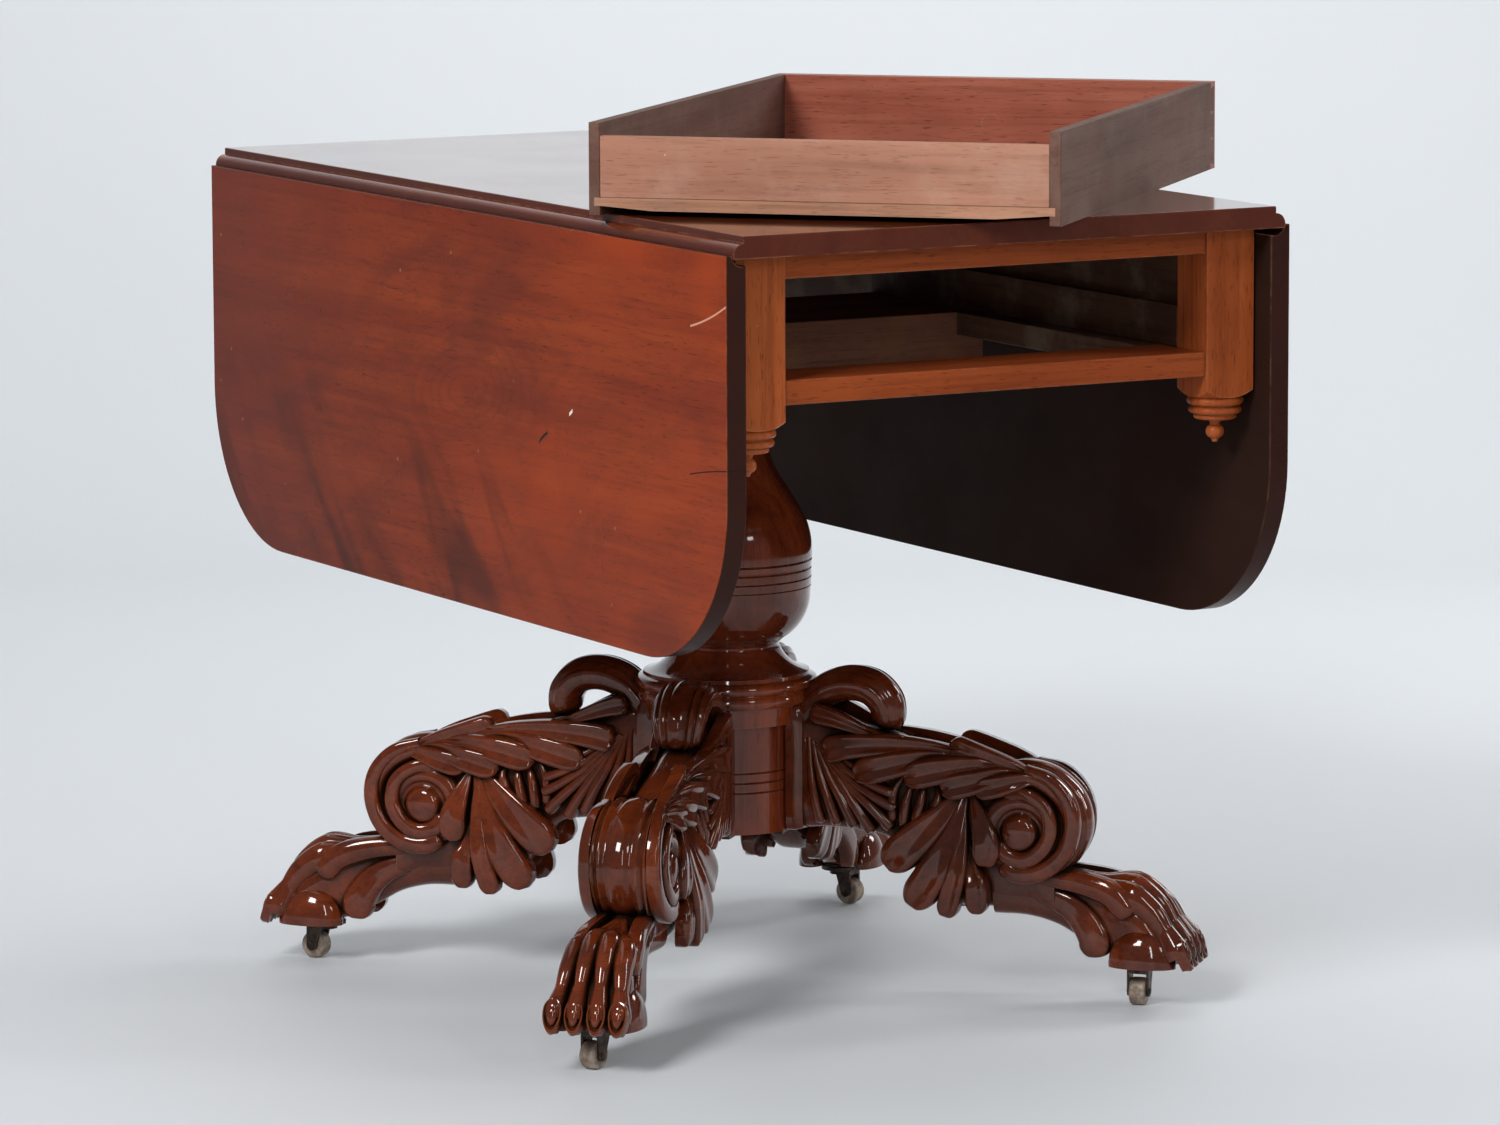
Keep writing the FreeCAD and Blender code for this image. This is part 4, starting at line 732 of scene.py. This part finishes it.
def recess_shade_group():
    """Painted shade in the cuts: how closed in a point is, broken up by clouds."""
    tree, given, made = new_group("recess_painted_shade", [("Vector", "Vector", None),
                                                  ("Reach", "Float", 0.012)], [("Mask", "Float")])
    hidden = add(tree, "ShaderNodeAmbientOcclusion", {"samples": 8, "only_local": True},
                 Distance=given["Reach"]).outputs["AO"]
    patchy = clouds(tree, stretch(tree, given["Vector"], (40, 40, 40)), 3.0, 0.6)
    shifted = calc(tree, "MULTIPLY_ADD", patchy, 0.25, calc(tree, "SUBTRACT", hidden, 0.125))
    tree.links.new(calc(tree, "SUBTRACT", 1.0, between(tree, shifted, 0.36, 0.84)), made["Mask"])
    return tree


recess = recess_shade_group()


def painted_recess_shade(tree, place, colour):
    """Nearly black painted shade in the cuts, where the polish is also gone."""
    mask = use(tree, recess, Vector=place, Reach=0.013)["Mask"]
    return blended(tree, mask, colour, (0.009, 0.004, 0.002)), mask


# the legs' tones are the column's mahogany painted about 0.6 as bright: painted shade on the legs
carved_finish_painted_shade = polished("carved_mahogany", (0.026, 0.006, 0.003), (0.085, 0.014, 0.004),
                         (0.150, 0.026, 0.006), CROSSWAYS, rough=0.07, figure=0.6,
                         coat=0.75, specular=0.1, worn=(0.30, 0.12, 0.05), wear=0.35,
                         reach=0.0016, extra=painted_recess_shade)
LEG_TURNS = {"front_right": 315, "rear_right": 45, "rear_left": 135, "front_left": 225}
carving = leg_shells()
for corner, turn in LEG_TURNS.items():
    c, s = math.cos(math.radians(turn)), math.sin(math.radians(turn))
    outward = np.array([[c, s, 0], [-s, c, 0], [0, 0, 1]])
    placed = [(points / 1000 @ outward + COLUMN_FOOT, faces) for points, faces in carving]
    piece = mesh_of("carved_leg_" + corner, placed, carved_finish_painted_shade, "table")
    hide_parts("leg_" + corner)

# ---------------------------------------------------------------------------
# The casters: iron plates and swivelling forks, with worn rollers on rivets.
# ---------------------------------------------------------------------------
caster_iron = dull_metal("caster_iron", (0.022, 0.014, 0.011), (0.075, 0.052, 0.040), 0.42, 0.75)
roller_worn = dull_metal("roller_brass", (0.16, 0.115, 0.085), (0.40, 0.32, 0.25), 0.55, 0.25, 90.0)
for corner in LEG_TURNS:
    dress(caster_iron, "caster_fork_" + corner, "caster_axle_" + corner)
    dress(roller_worn, "caster_wheel_" + corner)
dress(caster_iron, "caster_plates")

# ---------------------------------------------------------------------------
# The room: a plain pale floor running up into a wall, and soft lamps round it.
# ---------------------------------------------------------------------------


def cove():
    """A floor that curves up into a wall: its depth and rise by the angle of the bend.

    It is clear from behind, so the table can be looked at from every side.
    """
    back, bend, front, top, half = 2.6, 1.2, 7.0, 7.0, 9.0
    turn = np.linspace(0, math.pi / 2, 24)
    depth = np.concatenate([[-front], back + bend * np.sin(turn), [back + bend]])
    rise = np.concatenate([[0.0], bend * (1 - np.cos(turn)), [top]])
    view = math.radians(-28.85)
    away = np.array([-math.sin(view), math.cos(view)])
    right = np.array([math.cos(view), math.sin(view)])
    rows = []
    for side in (-half, half):
        flat = depth[:, None] * away + side * right
        rows.append(np.column_stack([flat, rise]))
    points = np.vstack(rows)
    count = len(depth)
    start = np.arange(count - 1)
    faces = np.column_stack([start, start + count, start + count + 1, start + 1])
    mesh = bpy.data.meshes.new("cove")
    mesh.from_pydata(points.tolist(), [], faces.tolist())
    mesh.polygons.foreach_set("use_smooth", np.ones(len(faces), bool))
    material, tree, shader = new_finish("pale_floor", 0.55)
    behind = tree.nodes.new("ShaderNodeNewGeometry").outputs["Backfacing"]
    tree.links.new(calc(tree, "SUBTRACT", 1.0, behind), shader.inputs["Alpha"])
    shader.inputs["Base Color"].default_value = (0.60, 0.62, 0.64, 1)
    mesh.materials.append(material)
    floor = bpy.data.objects.new("cove", mesh)
    bpy.context.scene.collection.objects.link(floor)


cove()


def lamp(name, place, aim, size, power):
    """A soft white lamp at a place, turned to its aim."""
    light = bpy.data.lights.new(name, "AREA")
    light.shape = "RECTANGLE"
    light.size, light.size_y = size
    light.energy = power
    shown = bpy.data.objects.new(name, light)
    away = Vector(aim) - Vector(place)
    turned = away.to_track_quat("-Z", "Y").to_matrix().to_4x4()
    shown.matrix_world = Matrix.Translation(place) @ turned
    bpy.context.scene.collection.objects.link(shown)


lamp("left_bank", (-3.4, -1.9, 3.0), (-0.1, 0.0, 0.45), (1.2, 1.3), 165)
lamp("front_bank", (0.4, -4.2, 2.3), (0.0, 0.0, 0.4), (0.6, 0.8), 20)
lamp("right_bank", (3.2, 0.4, 2.0), (0.0, 0.0, 0.4), (0.7, 1.4), 38)
lamp("wall_wash", (0.8, 1.4, 3.2), (1.83, 3.33, 0.9), (3.0, 0.5), 60)
lamp("overhead", (0.0, 0.6, 3.4), (0.0, 0.0, 0.5), (2.6, 2.6), 20)
lamp("left_strip", (-1.7, -3.2, 1.3), (0.0, 0.0, 0.3), (0.14, 1.6), 18)
lamp("right_strip", (2.6, -1.7, 1.5), (0.0, 0.0, 0.3), (0.16, 1.6), 20)
world = bpy.data.worlds.new("room")
world.use_nodes = True
world.node_tree.nodes["Background"].inputs["Color"].default_value = (0.80, 0.86, 0.92, 1)
world.node_tree.nodes["Background"].inputs["Strength"].default_value = 0.22
bpy.context.scene.world = world
bpy.context.scene.view_settings.view_transform = "Standard"

# ---------------------------------------------------------------------------
# The camera: well back and a little above, looking along the left leaf.
# ---------------------------------------------------------------------------
AZIMUTH, ELEVATION, ROLL = math.radians(-28.847), math.radians(8.159), math.radians(-0.209)
AIM, DISTANCE = Vector((-0.00085, 0.05929, 0.3789)), 6.446
LENS, SENSOR = 169.44816, 36.0
back = Vector((math.sin(AZIMUTH) * math.cos(ELEVATION), -math.cos(AZIMUTH) * math.cos(ELEVATION),
               math.sin(ELEVATION)))
right = back.cross(Vector((0, 0, -1))).normalized()
up = back.cross(right)
tilted = right * math.cos(ROLL) + up * math.sin(ROLL)
upright = up * math.cos(ROLL) - right * math.sin(ROLL)
lens = bpy.data.cameras.new("camera")
lens.sensor_width = SENSOR
lens.lens = LENS
lens.clip_end = 60.0
camera = bpy.data.objects.new("camera", lens)
camera.matrix_world = Matrix.Translation(AIM + back * DISTANCE) @ Matrix(
    (tilted, upright, back)).transposed().to_4x4()
bpy.context.scene.collection.objects.link(camera)
bpy.context.scene.camera = camera
